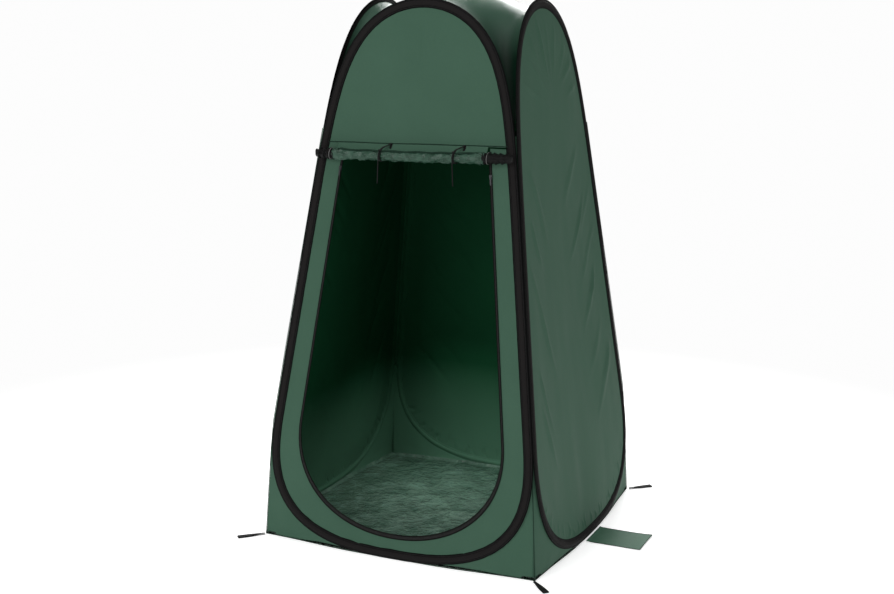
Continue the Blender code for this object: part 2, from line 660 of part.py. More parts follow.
def build():
    clear_scene()
    half = BASE / 2
    root = pivot("tent_root", (0, 0, 0))
    right = pivot("right_panel_pivot", (half, -half, 0), root)
    wide = half + HINGE_OUT
    left = pivot("left_panel_pivot", (-wide, -wide, 0), root)
    rear = pivot("rear_panel_pivot", (wide, wide, 0), right)
    holders = (root, right, rear, left)
    for side, holder in enumerate(holders):
        hoop_wire(side, holder)
        hoop_ferrule(side, holder)
        hoop_sleeve(side, holder)
        gusset(side, -1, holder)
        gusset(side, 1, holder)
        if side:
            wall(side, holder)
    front_cloth(root)
    zip_tape(root)
    door_roll(root)
    roll_end("roll_end_left", ROLL_LEFT - 0.0004, -ROLL_TIP, root)
    roll_end("roll_end_right", ROLL_RIGHT + 0.0004, ROLL_TIP, root)
    for hand, u in TIE_PLACES.items():
        door_tie(hand, u, root)
        tie_knot(hand, u, root)
        tie_tail(hand, u, root)
        zip_slider(hand, root)
    roof(root)
    floor(root)
    lift = REST_GAP + LOOP_THICK
    corner = half - CORNER_IN
    out = corner + LOOP_OUT
    stake_loop("stake_loop_front_left", (-corner, -out, lift), Vector((-1, -1)), root)
    stake_loop("stake_loop_front_right", (corner, -out, lift), Vector((1, -1)), root)
    stake_loop("stake_loop_rear_right", (out, corner, lift), Vector((1, 1)), right)
    stake_loop("stake_loop_rear_left", (-corner, out, lift), Vector((-1, 1)), rear)
    ground_flap(right)


build()
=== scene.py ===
"""Looks of the pop-up privacy shower tent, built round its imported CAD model. Metres, +Z up."""
import json
import math

import bmesh
import bpy
import numpy as np
from mathutils import Matrix, Vector, noise


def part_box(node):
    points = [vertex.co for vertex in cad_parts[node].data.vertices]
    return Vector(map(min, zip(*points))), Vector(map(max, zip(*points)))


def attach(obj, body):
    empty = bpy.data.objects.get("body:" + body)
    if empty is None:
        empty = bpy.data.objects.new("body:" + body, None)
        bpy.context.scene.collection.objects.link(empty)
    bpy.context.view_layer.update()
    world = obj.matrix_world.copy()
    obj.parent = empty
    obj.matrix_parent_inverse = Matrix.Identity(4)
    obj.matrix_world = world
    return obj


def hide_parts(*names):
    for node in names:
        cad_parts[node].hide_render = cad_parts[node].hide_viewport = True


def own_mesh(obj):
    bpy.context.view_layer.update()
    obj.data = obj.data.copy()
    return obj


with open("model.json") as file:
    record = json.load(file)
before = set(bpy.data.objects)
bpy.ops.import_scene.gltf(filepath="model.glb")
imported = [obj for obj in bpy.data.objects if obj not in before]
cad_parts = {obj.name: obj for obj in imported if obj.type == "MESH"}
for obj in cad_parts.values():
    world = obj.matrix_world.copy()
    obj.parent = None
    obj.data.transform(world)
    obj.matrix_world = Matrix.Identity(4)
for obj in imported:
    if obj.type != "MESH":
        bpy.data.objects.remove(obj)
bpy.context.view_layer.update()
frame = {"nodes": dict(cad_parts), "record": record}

# ---- Driving dimensions: the CAD's own, unless a comment says otherwise ----
JOINTS = {j["name"]: j for j in frame["record"]["behaviour"]["joints"]}
FOLD = JOINTS["fold_front_right"]
HALF = FOLD["pos_m"][0]  # half the base, at the corner seams
LEAN = math.atan(-FOLD["axis"][0] / FOLD["axis"][2])  # each wall leans in by this much
SIN, COS = math.sin(LEAN), math.cos(LEAN)
WALL_OUT = 0.008  # wall mid-plane outside the seam pyramid
WALL_Y = HALF + WALL_OUT / COS
HINGE_OUT = 0.011  # hinges further out where the tent opens flat
WIDEST = 0.526  # height of the hoops' widest place
HOOP = dict(half=HALF - WIDEST * SIN - 0.0115, widest=WIDEST, taper=SIN, bottom=0.0195, top=2.117,
            low=(2.69, 2.69), high=(10.0, 2.0))
DOOR = dict(half=0.425, widest=0.5, taper=0.115, bottom=0.089, top=2.3,
            low=(2.06, 2.06), high=(9.0, 9.0))  # its foot a touch rounder than the CAD's
SEAM_AT, ROOF_FROM, GUSSET_TOP = 1.59, 1.62, 0.45  # heights up the walls
ROLL_V, ROLL_N, ROLL_R = 1.544, 0.034, 0.018  # the roll's middle and radius
ROLL_LEFT, ROLL_RIGHT, ROLL_TIP = -0.322, 0.29, 0.405
CAD_ROLL = (0.0215, 0.0205)  # the CAD roll's half height and half depth
TIES = {"left": -0.126, "right": 0.176}
KNOT_AT, TAIL_AT = math.radians(50), math.radians(30)  # round the roll, above its foremost line
TAIL_ROUTE = ((0.0, 0.0, 0.0), (0.0, -0.0042, -0.0066), (0.0, -0.0066, -0.014), (0.1, -0.0069, -0.032),
              (0.4, -0.0067, -0.06), (1.0, -0.0062, -0.118))
TAIL_DRIFT = 0.004
SIDES = ("front", "right", "rear", "left")
BODIES = tuple(s + "_panel" for s in SIDES)
FRONT = BODIES[0]

# Chosen here, for the look alone
CLOTH = 0.0009  # thickness of every cloth but the floor
ROOF_DOME = 0.3  # from a slack skin towards a full vault
CORNER_IN = 0.025  # floor corners pull in from the walls' feet
KINK_AT = 0.48  # height where the corner seams start to pull in
TILT = 0.022  # the seam and the roll climb to the right
SLEEVE_HALF, STITCH_AT = 0.0185, 0.0135  # binding sleeve: half width, stitches from its middle
WEAVE, FLOOR_WEAVE = 0.0007, 0.0024  # pitch of the walls' threads and the floor's tapes
LIFT = 0.0004  # the floor and the stake loops lie this far above the ground
OVAL = 1.04  # the roll's section is this much higher than its radius says
WHITE = (0.98, 0.98, 0.98, 1.0)


# ---- Outlines and wall axes ----
def egg_powers(spec, high):
    """Powers of an oval's rise and width, and how far it reaches, above and below its widest place."""
    rise, width = (np.where(high, spec["high"][k], spec["low"][k]) for k in (0, 1))
    return rise, width, np.where(high, spec["top"], spec["bottom"]) - spec["widest"]


def egg_points(spec, count=1440):
    """Dense (u, v) points of a tapering oval, from its top round the +u side."""
    a = math.tau * np.arange(count) / count
    rise_power, width_power, reach = egg_powers(spec, np.cos(a) >= 0)
    rise = np.abs(np.cos(a)) ** (2 / rise_power) * reach
    wide = (spec["half"] - spec["taper"] * rise) * np.abs(np.sin(a)) ** (2 / width_power)
    return points_of(np.sign(np.sin(a)) * wide, spec["widest"] + rise)


def egg_half(spec, v):
    """Half width of a tapering oval at height v."""
    rise = np.asarray(v, float) - spec["widest"]
    rise_power, width_power, reach = egg_powers(spec, rise >= 0)
    share = np.clip(rise / reach, 0, 1)
    return (spec["half"] - spec["taper"] * rise) * (1 - share ** rise_power) ** (1 / width_power)


def evenly(line, count, closed=False):
    """Points at equal steps of length along a polyline."""
    line = np.asarray(line, float)
    if closed:
        line = np.vstack([line, line[:1]])
    run = run_length(line)
    at = np.linspace(0, run[-1], count + 1)[:-1] if closed else np.linspace(0, run[-1], count)
    return np.stack([np.interp(at, run, line[:, k]) for k in range(line.shape[1])], -1)


def below(line, height):
    """The run of a closed outline below height, +u crossing first."""
    keep = line[line[:, 1] < height]
    edge = [abs(keep[0, 0]), height]
    return np.vstack([edge, keep, [-edge[0], height]])


def points_of(*parts):
    """Points from coordinates that broadcast together."""
    return np.stack(np.broadcast_arrays(*parts), -1)


def unit(vectors):
    return vectors / np.maximum(np.linalg.norm(vectors, axis=-1, keepdims=True), 1e-12)


def spin(side, x, y):
    """Turns a place on the front wall to the same place on another wall."""
    turn = side * math.pi / 2
    c, s = math.cos(turn), math.sin(turn)
    return x * c - y * s, x * s + y * c


def wall_world(side, u, v, n):
    """Wall axes (u across, v up the slope, n outwards) to world points."""
    u, v, n = np.broadcast_arrays(np.asarray(u, float), v, n)
    x, y = spin(side, u, -WALL_Y + v * SIN - n * COS)
    return np.stack([x, y, v * COS + n * SIN], -1)


def outward_of(side, grid):
    """The wall's outward normal at every point of a grid."""
    normal = wall_world(side, 0.0, 0.0, 1.0) - wall_world(side, 0.0, 0.0, 0.0)
    return np.broadcast_to(normal, np.shape(grid))


def noise_map(points, scale, seed, octaves=3):
    """Smooth noise from about -1 to 1 at each point; scale stretches each axis."""
    flat = np.asarray(points, float).reshape(-1, np.shape(points)[-1]) * np.asarray(scale)
    if flat.shape[1] == 2:
        flat = np.hstack([flat, np.zeros((len(flat), 1))])
    flat = flat + np.array([seed * 7.31, seed * 3.17, seed * 5.93])
    values = [noise.fractal(Vector(p), 0.9, 2.1, octaves) for p in flat]
    return np.array(values).reshape(np.shape(points)[:-1])


def smooth_step(x, low, high):
    """0 up to low, 1 from high, an even curve between."""
    t = np.clip((np.asarray(x, float) - low) / (high - low), 0, 1)
    return t * t * (3 - 2 * t)


# ---- Mesh builders ----
def make_object(name, verts, faces, uvs, materials, face_mats=None, sharp=None):
    """Object from vertices, faces and one (u, v) in metres per vertex."""
    mesh = bpy.data.meshes.new(name)
    mesh.from_pydata([tuple(p) for p in verts], [], faces)
    layer = mesh.uv_layers.new(name="cloth_metres")
    index = np.zeros(len(mesh.loops), int)
    mesh.loops.foreach_get("vertex_index", index)
    layer.data.foreach_set("uv", np.asarray(uvs, np.float32)[index].ravel())
    for one in materials:
        mesh.materials.append(one)
    if face_mats:
        mesh.polygons.foreach_set("material_index", face_mats)
    mesh.validate()
    mesh.shade_smooth()
    if sharp:
        mesh.set_sharp_from_angle(angle=math.radians(sharp))
    thing = bpy.data.objects.new(name, mesh)
    bpy.context.collection.objects.link(thing)
    return thing


def grid_normals(grid):
    """Unit normals of a rows x columns grid of points."""
    return unit(np.cross(np.gradient(grid, axis=1), np.gradient(grid, axis=0)))


def upward_normals(grid):
    """Unit normals of a grid that lies or arches over the ground."""
    normal = grid_normals(grid)
    return normal * np.sign(normal[..., 2:3])


def cloth_sheet(name, grid, uv, outward, outside, inside):
    """Closed thin sheet from a grid of points: outside faces, inside faces, and a rim all round."""
    rows, cols = grid.shape[:2]
    normal = grid_normals(grid)
    if float((normal * outward).sum(-1).mean()) < 0:
        grid, uv, normal = grid[:, ::-1], uv[:, ::-1], -normal[:, ::-1]
    verts = np.vstack([grid.reshape(-1, 3), (grid - CLOTH * normal).reshape(-1, 3)])

    def at(r, c, layer=0):
        return (layer * rows + r) * cols + c
    faces, mats = [], []
    for r in range(rows - 1):
        for c in range(cols - 1):
            faces.append((at(r, c + 1), at(r + 1, c + 1), at(r + 1, c), at(r, c)))
            faces.append((at(r, c, 1), at(r + 1, c, 1), at(r + 1, c + 1, 1), at(r, c + 1, 1)))
            mats += [0, 1]
    rim = [(0, c) for c in range(cols)] + [(r, cols - 1) for r in range(1, rows)]
    rim += [(rows - 1, c) for c in range(cols - 2, -1, -1)] + [(r, 0) for r in range(rows - 2, 0, -1)]
    for (r, c), (q, d) in zip(rim, rim[1:] + rim[:1]):
        faces.append((at(r, c), at(r, c, 1), at(q, d, 1), at(q, d)))
        mats.append(0)
    return make_object(name, verts, faces, np.vstack([uv.reshape(-1, 2)] * 2), [outside, inside], mats)


def tube(name, rings, uvs, materials, closed=False, face_mats=None, sharp=None):
    """Surface through rings of points (stations x section), capped at its ends unless closed."""
    count, size = rings.shape[:2]
    faces, mats = [], []
    for i in range(count if closed else count - 1):
        k = (i + 1) % count
        for j in range(size):
            m = (j + 1) % size
            faces.append((i * size + j, i * size + m, k * size + m, k * size + j))
            mats.append(face_mats[i][j] if face_mats else 0)
    if not closed:
        faces += [tuple(range(size)), tuple((count - 1) * size + j for j in reversed(range(size)))]
        mats += [0, 0]
    thing = make_object(name, rings.reshape(-1, 3), faces, uvs.reshape(-1, 2), materials, mats, sharp)
    fix_normals(thing)
    return thing


def fix_normals(thing):
    """Turns every face outwards."""
    bm = bmesh.new()
    bm.from_mesh(thing.data)
    bmesh.ops.recalc_face_normals(bm, faces=bm.faces)
    if bm.calc_volume(signed=True) < 0:
        bmesh.ops.reverse_faces(bm, faces=bm.faces)
    bm.to_mesh(thing.data)
    bm.free()


def path_sides(path, closed=False):
    """Unit vectors to the left of a flat path's run."""
    along = np.roll(path, -1, axis=0) - np.roll(path, 1, axis=0) if closed else np.gradient(path, axis=0)
    along = unit(along)
    return points_of(-along[:, 1], along[:, 0])


def run_length(path):
    """Length of a path up to each of its points."""
    return np.concatenate([[0], np.cumsum(np.linalg.norm(np.diff(path, axis=0), axis=1))])


def wall_sweep(side, path, section, closed=False, wobble=None):
    """Rings of world points for a section of (left, n) points carried along a (u, v) path."""
    left = path_sides(path, closed)
    run = run_length(path)[:, None]
    r, n = (section[:, k] + np.zeros((len(path), 1)) for k in (0, 1))
    if wobble:
        dr, dn = wobble(run, section[None, :, 0])
        r, n = r + dr, n + dn * np.sign(section[:, 1])
    u, v = (path[:, k:k + 1] + r * left[:, k:k + 1] for k in (0, 1))
    return wall_world(side, u, v, n), points_of(run, section[:, 0])


def cord_mesh(name, points, radius, material, sides=8, flat=1.0):
    """Round or flattened tube along 3D points."""
    points = np.asarray(points, float)
    a = math.tau * np.arange(sides) / sides
    along = unit(np.gradient(points, axis=0))
    across = np.array([0.0, 0.0, 1.0]) if abs(along[0, 2]) < 0.9 else np.array([1.0, 0.0, 0.0])
    rings = []
    for p, t in zip(points, along):
        across = unit(across - t * (across @ t))
        section = np.cos(a)[:, None] * across + flat * np.sin(a)[:, None] * np.cross(t, across)
        rings.append(p + radius * section)
    return tube(name, np.array(rings), points_of(run_length(points)[:, None], a * radius), [material])


# ---- Materials ----
class Nodes:
    """Short way to write a material's node tree."""

    def __init__(self, name):
        self.material = bpy.data.materials.new(name)
        self.material.use_nodes = True
        self.tree = self.material.node_tree
        self.shader = self.tree.nodes["Principled BSDF"]
        self.where = self.add("TexCoord").outputs["Object"]

    def add(self, kind, links=None, **settings):
        node = self.tree.nodes.new("ShaderNode" + kind)
        for key, value in settings.items():
            setattr(node, key, value)
        for socket, value in (links or {}).items():
            self.feed(node.inputs[socket], value)
        return node

    def feed(self, socket, value):
        if isinstance(value, bpy.types.NodeSocket):
            self.tree.links.new(value, socket)
        else:
            socket.default_value = value

    def set(self, **values):
        for key, value in values.items():
            self.feed(self.shader.inputs[key.replace("_", " ")], value)

    def math(self, operation, a, b=0.0):
        return self.add("Math", {0: a, 1: b}, operation=operation).outputs[0]

    def ramp(self, value, stops):
        node = self.add("ValToRGB", {"Fac": value})
        ramp = node.color_ramp
        while len(ramp.elements) < len(stops):
            ramp.elements.new(0.5)
        for element, (place, colour) in zip(ramp.elements, stops):
            element.position = place
            element.color = colour
        return node.outputs["Color"]

    def metres(self):
        """The piece's own (along, across) coordinates in metres."""
        place = self.add("SeparateXYZ", {0: self.add("UVMap", uv_map="cloth_metres").outputs["UV"]})
        return place.outputs[0], place.outputs[1]

    def noise(self, scale, detail=2.0, roughness=0.5):
        links = {"Vector": self.where, "Scale": scale, "Detail": detail, "Roughness": roughness}
        return self.add("TexNoise", links).outputs["Fac"]

    def wave(self, along, pitch):
        """Ribs at a pitch in metres."""
        return self.math("SINE", self.math("MULTIPLY", along, math.tau / pitch))

    def spread(self, value, low, high, to_low=0.0, to_high=1.0):
        """Carries the range low to high over to another, and stops at its ends."""
        links = {"Value": value, "From Min": low, "From Max": high, "To Min": to_low, "To Max": to_high}
        return self.add("MapRange", links).outputs[0]

    def mix(self, share, first, second):
        return self.add("Mix", {0: share, 6: first, 7: second}, data_type="RGBA").outputs[2]

    def bump(self, height, distance, strength=1.0, below=None):
        links = {"Height": height, "Distance": distance, "Strength": strength}
        if below:
            links["Normal"] = below
        return self.add("Bump", links).outputs["Normal"]


def rgb(r, g, b):
    return (r, g, b, 1.0)


def grey(value):
    return rgb(value, value, value)


def weave(n, pitch):
    """Plain weave: warp and weft ribs crossing at the given pitch."""
    along, across = n.metres()
    return n.math("MULTIPLY", n.wave(along, pitch), n.wave(across, pitch))


def taffeta(name, dark, light, roughness, gloss=0.05, crinkle=0.002, patches=3.5, low=None, painted_shading_heights=(0.0, 0.5)):
    """Coated cloth: fine weave, cloudy tone, satin gloss, and, if given, painted shading: another tone
    blended in low down by height.
    """
    n = Nodes(name)
    cloud = n.noise(patches, 5.0, 0.6)
    mixed = n.math("ADD", n.math("MULTIPLY", cloud, 0.75), n.math("MULTIPLY", n.noise(140.0), 0.25))
    tone = n.ramp(mixed, [(0.3, dark), (0.7, light)])
    # Painted light and shade: the low tone is blended in by height and stands in for how light falls low down
    if low:
        height = n.add("SeparateXYZ", {0: n.where}).outputs[2]
        tone = n.mix(n.spread(height, *painted_shading_heights, 1.0, 0.0), tone, low)
    rough = n.spread(cloud, 0.3, 0.7, roughness - 0.05, roughness + 0.06)
    threads = n.bump(weave(n, WEAVE), 0.00008, 0.6)
    n.set(Base_Color=tone, Roughness=rough, Specular_IOR_Level=gloss,
          Normal=n.bump(n.noise(26.0, 4.0, 0.55), crinkle, 0.35, threads))
    return n.material


def binding_material(name, edge, middle):
    """Black woven tape folded over a hoop, with a painted highlight that makes it lighter over the wire, and
    a stitched line near each edge.
    """
    n = Nodes(name)
    along, across = n.metres()
    off_middle = n.math("ABSOLUTE", across)
    grain = n.math("MULTIPLY", n.math("SUBTRACT", n.noise(240.0, 3.0), 0.5), 0.5)
    # Painted highlight: the tape's middle, over the wire, is painted lighter than its edges
    painted_highlight_falloff = n.math("ADD", n.math("DIVIDE", off_middle, SLEEVE_HALF), grain)
    base = n.ramp(painted_highlight_falloff, [(0.1, middle), (0.42, middle), (0.66, edge), (1.0, edge)])
    near = n.math("LESS_THAN", n.math("ABSOLUTE", n.math("SUBTRACT", off_middle, STITCH_AT)), 0.0008)
    stitch = n.math("MULTIPLY", near, n.math("GREATER_THAN", n.wave(along, 0.0052), -0.35))
    ribs = n.bump(n.wave(along, 0.0016), 0.00018, 0.7)
    n.set(Base_Color=n.mix(stitch, base, grey(0.024)), Roughness=0.7, Specular_IOR_Level=0.08,
          Normal=n.bump(stitch, 0.0006, 0.8, ribs))
    return n.material


def webbing_material(name, dark, light, rib=0.0021, roughness=0.75, gloss=0.2):
    """Narrow woven tape: ribs both ways and a flecked tone."""
    n = Nodes(name)
    along, across = n.metres()
    ribs = n.math("MULTIPLY", n.wave(along, rib), n.wave(across, rib * 0.7))
    tone = n.math("ADD", n.math("MULTIPLY", ribs, 0.2), n.noise(300.0, 3.0))
    n.set(Base_Color=n.ramp(tone, [(0.3, dark), (0.8, light)]), Roughness=roughness, Specular_IOR_Level=gloss,
          Normal=n.bump(ribs, 0.0004, 0.8))
    return n.material


def floor_material():
    """Laminated ground sheet: woven tape under a film, sharply crinkled."""
    n = Nodes("ground_sheet")
    cells = n.add("TexVoronoi", {"Vector": n.where, "Scale": 26.0}, feature="DISTANCE_TO_EDGE")
    cloud = n.noise(8.0, 6.0, 0.62)
    tapes = n.bump(weave(n, FLOOR_WEAVE), 0.0002, 0.5)
    crinkle = n.bump(n.math("MINIMUM", cells.outputs["Distance"], 0.12), 0.03, 0.8, tapes)
    n.set(Base_Color=n.ramp(cloud, [(0.35, rgb(0.05, 0.12, 0.082)), (0.65, rgb(0.12, 0.23, 0.165))]),
          Roughness=0.24, Specular_IOR_Level=0.8, Normal=n.bump(cloud, 0.06, 0.9, crinkle))
    return n.material


def zip_material():
    """Zip tape: a ribbed coil along one edge, woven tape beside it, both edges black."""
    n = Nodes("zip_half")
    along, across = n.metres()
    ribs = n.math("MULTIPLY", n.wave(along, 0.0011), 0.2)
    on_coil = n.math("LESS_THAN", across, -0.0055)
    height = n.add("Mix", {0: on_coil, 2: ribs, 3: n.wave(along, 0.0022)}).outputs[0]
    tape = n.ramp(n.noise(200.0), [(0.3, grey(0.008)), (0.7, rgb(0.018, 0.018, 0.017))])
    edge = n.spread(n.math("ABSOLUTE", across), 0.004, 0.0062)
    n.set(Base_Color=n.mix(edge, tape, grey(0.0015)), Roughness=0.6, Specular_IOR_Level=0.1,
          Normal=n.bump(height, 0.0006, 0.8))
    return n.material


def metal_material(name, colour, roughness, scratch):
    """Bare or enamelled metal with fine scratches."""
    n = Nodes(name)
    grain = n.noise(scratch, 5.0, 0.7)
    tone = n.ramp(grain, [(0.3, rgb(*(c * 0.75 for c in colour))), (0.7, rgb(*colour))])
    rough = n.spread(grain, 0.0, 1.0, roughness - 0.08, roughness + 0.12)
    n.set(Base_Color=tone, Metallic=1.0, Roughness=rough, Normal=n.bump(grain, 0.0002, 0.3))
    return n.material


CLOTH_OUT = taffeta("cloth_outside", rgb(0.04, 0.088, 0.059), rgb(0.048, 0.101, 0.069), 0.58)
# Painted light: low down, the inside is painted paler. This stands in for the light that comes in and falls
# there
CLOTH_IN = taffeta("cloth_inside", rgb(0.006, 0.044, 0.018), rgb(0.007, 0.052, 0.021), 0.7, gloss=0.02,
                   low=rgb(0.08, 0.19, 0.122))
# Painted shade: the roof is painted much darker low down, from 1.9 m to 2.14 m, for the shade in its valleys
ROOF_CLOTH = taffeta("roof_cloth", rgb(0.036, 0.092, 0.06), rgb(0.042, 0.104, 0.068), 0.36, gloss=0.11,
                     low=rgb(0.002, 0.014, 0.007), painted_shading_heights=(1.9, 2.14))
# Painted shade: the roll's strong dark-to-light cloudy tone stands in for the shadows in its folds
ROLL_CLOTH = taffeta("door_cloth", rgb(0.006, 0.026, 0.014), rgb(0.042, 0.096, 0.066), 0.3, gloss=0.24,
                     crinkle=0.004, patches=34.0)
FLAP_CLOTH = taffeta("flap_cloth", rgb(0.052, 0.122, 0.08), rgb(0.066, 0.146, 0.098), 0.45)
# Dark seam thread; also the dark hem cord above the roll, which paints the shadow in the fold there
SEAM_AND_SHADOW_THREAD = taffeta("seam_thread", rgb(0.008, 0.022, 0.014), rgb(0.012, 0.03, 0.02), 0.6)
PIPING = webbing_material("hem_piping", rgb(0.006, 0.014, 0.01), rgb(0.014, 0.03, 0.022), 0.0012)
# The middle colour is a painted highlight over the wire; the edge colour is the tape's own black
BINDING = binding_material("hoop_binding", rgb(0.001, 0.001, 0.0011), rgb(0.01, 0.009, 0.009))
WEBBING = webbing_material("loop_webbing", grey(0.003), grey(0.018))
WOUND_TAPE = webbing_material("wound_tape", grey(0.0015), grey(0.005), 0.0024,
                              roughness=0.26, gloss=0.14)
PALE_TAPE = webbing_material("pale_tape", grey(0.1), rgb(0.22, 0.22, 0.21), 0.0012)
GROUND_SHEET = floor_material()
ZIP = zip_material()
STEEL = metal_material("spring_steel", (0.5, 0.51, 0.53), 0.3, 90.0)
ENAMEL = metal_material("black_slider", (0.03, 0.03, 0.032), 0.35, 160.0)


# ---- Placing pieces ----
def settle(piece, body, slot, *nodes):
    """Gives a piece its body and the CAD nodes that it stands for; slot, its finish, is not used."""
    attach(piece, body)
    if nodes:
        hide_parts(*nodes)


def flatten(piece, side, n=0.0):
    """Gives a piece its own copy of its mesh."""
    out = wall_world(side, 0, 0, 1) - wall_world(side, 0, 0, 0)
    anchor = wall_world(side, 0, 1.0, n)
    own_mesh(piece)


def wall_sheet(name, side, uv, n, inside=CLOTH_IN):
    """Cloth over a grid of (u, v) on a wall, standing n off its plane."""
    grid = wall_world(side, uv[..., 0], uv[..., 1], n)
    return cloth_sheet(name, grid, uv, outward_of(side, grid), CLOTH_OUT, inside)


def egg_grid(spec, low, high, rows, cols):
    """Rows x columns of (u, v) in a tapering oval between two heights, rows closer at its ends."""
    t = 0.5 - 0.5 * np.cos(np.linspace(0, np.pi, rows))
    v = low + (high - low) * (0.35 * np.linspace(0, 1, rows) + 0.65 * t)
    half = egg_half(spec, np.clip(v, spec["bottom"] + 0.0015, spec["top"] - 0.0015))
    return points_of(half[:, None] * np.linspace(-1, 1, cols), v[:, None])


def edge_distance(uv, spec, count=360):
    """Distance of each (u, v) from an outline."""
    line = evenly(egg_points(spec), count, closed=True)
    gap = np.linalg.norm(uv.reshape(-1, 1, 2) - line[None], axis=-1)
    return gap.min(axis=1).reshape(uv.shape[:2])


def creases(side):
    """Tension creases of one wall, each a start, an end, a width and a height, in wall axes.

    They run in from the arch, slantwise down from both sides, and in short gathers from the low curve.
    """
    rng = np.random.default_rng(40 + side)
    outline = evenly(egg_points(HOOP), 400, closed=True)
    inward = -path_sides(outline, True)
    found = []

    def add(start, end, width, height):
        found.append((start, end, rng.uniform(*width), rng.uniform(*height)))
    for k in np.where(outline[:, 1] > 1.78)[0][::9]:
        start, way = outline[k], inward[k] * [0.8, 1.0]
        length = rng.uniform(0.16, 0.34)
        add(start + 0.03 * way, start + (0.03 + length) * way, (0.009, 0.014), (0.001, 0.0024))
    for hand, slope, count in ((1, 0.95, 9), (-1, 0.42, 6)):
        for v in np.linspace(0.62, 1.55, count) + rng.uniform(-0.04, 0.04, count):
            u = hand * (float(egg_half(HOOP, v)) - rng.uniform(0.03, 0.14))
            length = rng.uniform(0.2, 0.42)
            way = unit(np.array([-hand * slope, -1.0]))
            start = np.array([u, v])
            add(start, start + length * way, (0.01, 0.018), (0.0012, 0.0032))
    for k in np.where(outline[:, 1] < 0.24)[0][::4]:
        start, way = outline[k], inward[k]
        add(start + 0.016 * way, start + rng.uniform(0.05, 0.1) * way, (0.004, 0.007), (0.001, 0.0024))
    return found


def stroke(uv, start, end, width, height, bow):
    """A soft ridge from start to end, fading at both, bowed a little to one side."""
    run = end - start
    length = np.linalg.norm(run)
    along = ((uv - start) @ run) / length ** 2
    across = ((uv - start) @ np.array([-run[1], run[0]])) / length
    across = across - bow * np.sin(np.pi * np.clip(along, 0, 1))
    fade = smooth_step(along, -0.05, 0.3) * (1 - smooth_step(along, 0.45, 1.05))
    return height * fade * np.exp(-(across / width) ** 2)


def wrinkles(uv, side, strength=1.0):
    """How far the wall's cloth stands off its flat plane."""
    edge = edge_distance(uv, HOOP)
    soft = noise_map(uv, (3.2, 1.1), side + 1.0, 3)
    billow = noise_map(uv, (1.4, 1.0), side + 14.0, 1)
    n = (0.0032 * soft + 0.007 * billow) * smooth_step(edge, 0.004, 0.12)
    rng = np.random.default_rng(80 + side)
    for start, end, width, height in creases(side):
        n = n + stroke(uv, start, end, width, height, rng.uniform(-0.02, 0.02))
    return strength * n * smooth_step(edge, 0.0, 0.02)


def wall_cloth(side):
    """One whole wall inside its hoop."""
    uv = egg_grid(HOOP, HOOP["bottom"] + 0.002, HOOP["top"] - 0.002, 300, 140)
    piece = wall_sheet(SIDES[side] + "_wall_cloth", side, uv, wrinkles(uv, side, 2.3))
    settle(piece, BODIES[side], "cloth", SIDES[side] + "_wall")


def front_header():
    """Front cloth above the seam."""
    uv = egg_grid(HOOP, SEAM_AT - 0.004, HOOP["top"] - 0.002, 110, 110)
    n = wrinkles(uv, 0, 0.7) * smooth_step(uv[..., 1], SEAM_AT, SEAM_AT + 0.12)
    uv[..., 1] += climb(uv[..., 0]) * (1 - smooth_step(uv[..., 1], SEAM_AT, SEAM_AT + 0.15))
    piece = wall_sheet("header_cloth", 0, uv, n)
    settle(piece, FRONT, "cloth", "front_header")


def door_surround():
    """U-shaped cloth between the doorway and the hoop, gathered a little along its foot."""
    stations, cols = 200, 14
    outer, inner = (evenly(below(egg_points(spec), SEAM_AT), stations) for spec in (HOOP, DOOR))
    share = np.linspace(0, 1, cols)[None, :]
    uv = inner[:, None] * (1 - share[..., None]) + outer[:, None] * share[..., None]
    across = np.abs(share - 0.5) * 2
    run = run_length(outer)[:, None]
    ripple = 0.002 * noise_map(points_of(run, share), (5.0, 1.2), 3.3, 3) * (1 - across ** 2)
    pucker = 0.008 * noise_map(points_of(run, share * 0.2), (24.0, 1.0), 8.1, 2)
    pucker = pucker * share ** 2 * (1 - across ** 4)
    low = 1 - smooth_step(uv[..., 1] - 0.5 * uv[..., 0], 0.15, 0.45)
    piece = wall_sheet("surround_cloth", 0, uv, ripple + wrinkles(uv, 0, 0.25) + pucker * low)
    settle(piece, FRONT, "cloth", "door_surround")


def hoop_sleeve(side):
    """Binding over the wire: a rounded channel in the middle and a flat stitched flange on each side.

    Its back is lined with the cloth, apart from the outer flange round the arch.
    """
    path = evenly(egg_points(HOOP), 300, closed=True)
    profile = [(0.0, 0.0064), (0.004, 0.0061), (0.008, 0.0046), (0.0105, 0.0027), (0.013, 0.002),
               (0.0165, 0.0019), (0.0187, 0.0012)]
    outer = profile + [(r, -n) for r, n in reversed(profile)]
    inner = [(-r, -n) for r, n in profile[1:]] + [(-r, n) for r, n in reversed(profile[1:])]

    def wobble(run, across):
        line, fine = (np.array([noise.fractal(Vector((r * rate, side * shift, z)), 1.0, 2.0, octaves)
                                for r in run[:, 0]])[:, None]
                      for rate, shift, z, octaves in ((14, 4.7, 0, 3), (55, 2.3, 3, 2)))
        flange = np.sign(across) * (np.abs(across) > 0.012)
        return flange * 0.0007 * fine, (0.0005 * line + 0.0004 * fine) * (np.abs(across) < 0.011)
    rings, uv = wall_sweep(side, path, np.array(outer + inner), True, wobble)
    below_roof, round_arch = [0] * 7 + [1] * 12 + [0] * 7, [0] * 13 + [1] * 6 + [0] * 7
    lining = [below_roof if v < ROOF_FROM else round_arch for v in path[:, 1]]
    piece = tube(SIDES[side] + "_sleeve_cloth", rings, uv, [BINDING, CLOTH_IN], closed=True, face_mats=lining)
    settle(piece, BODIES[side], "binding", SIDES[side] + "_hoop_sleeve")


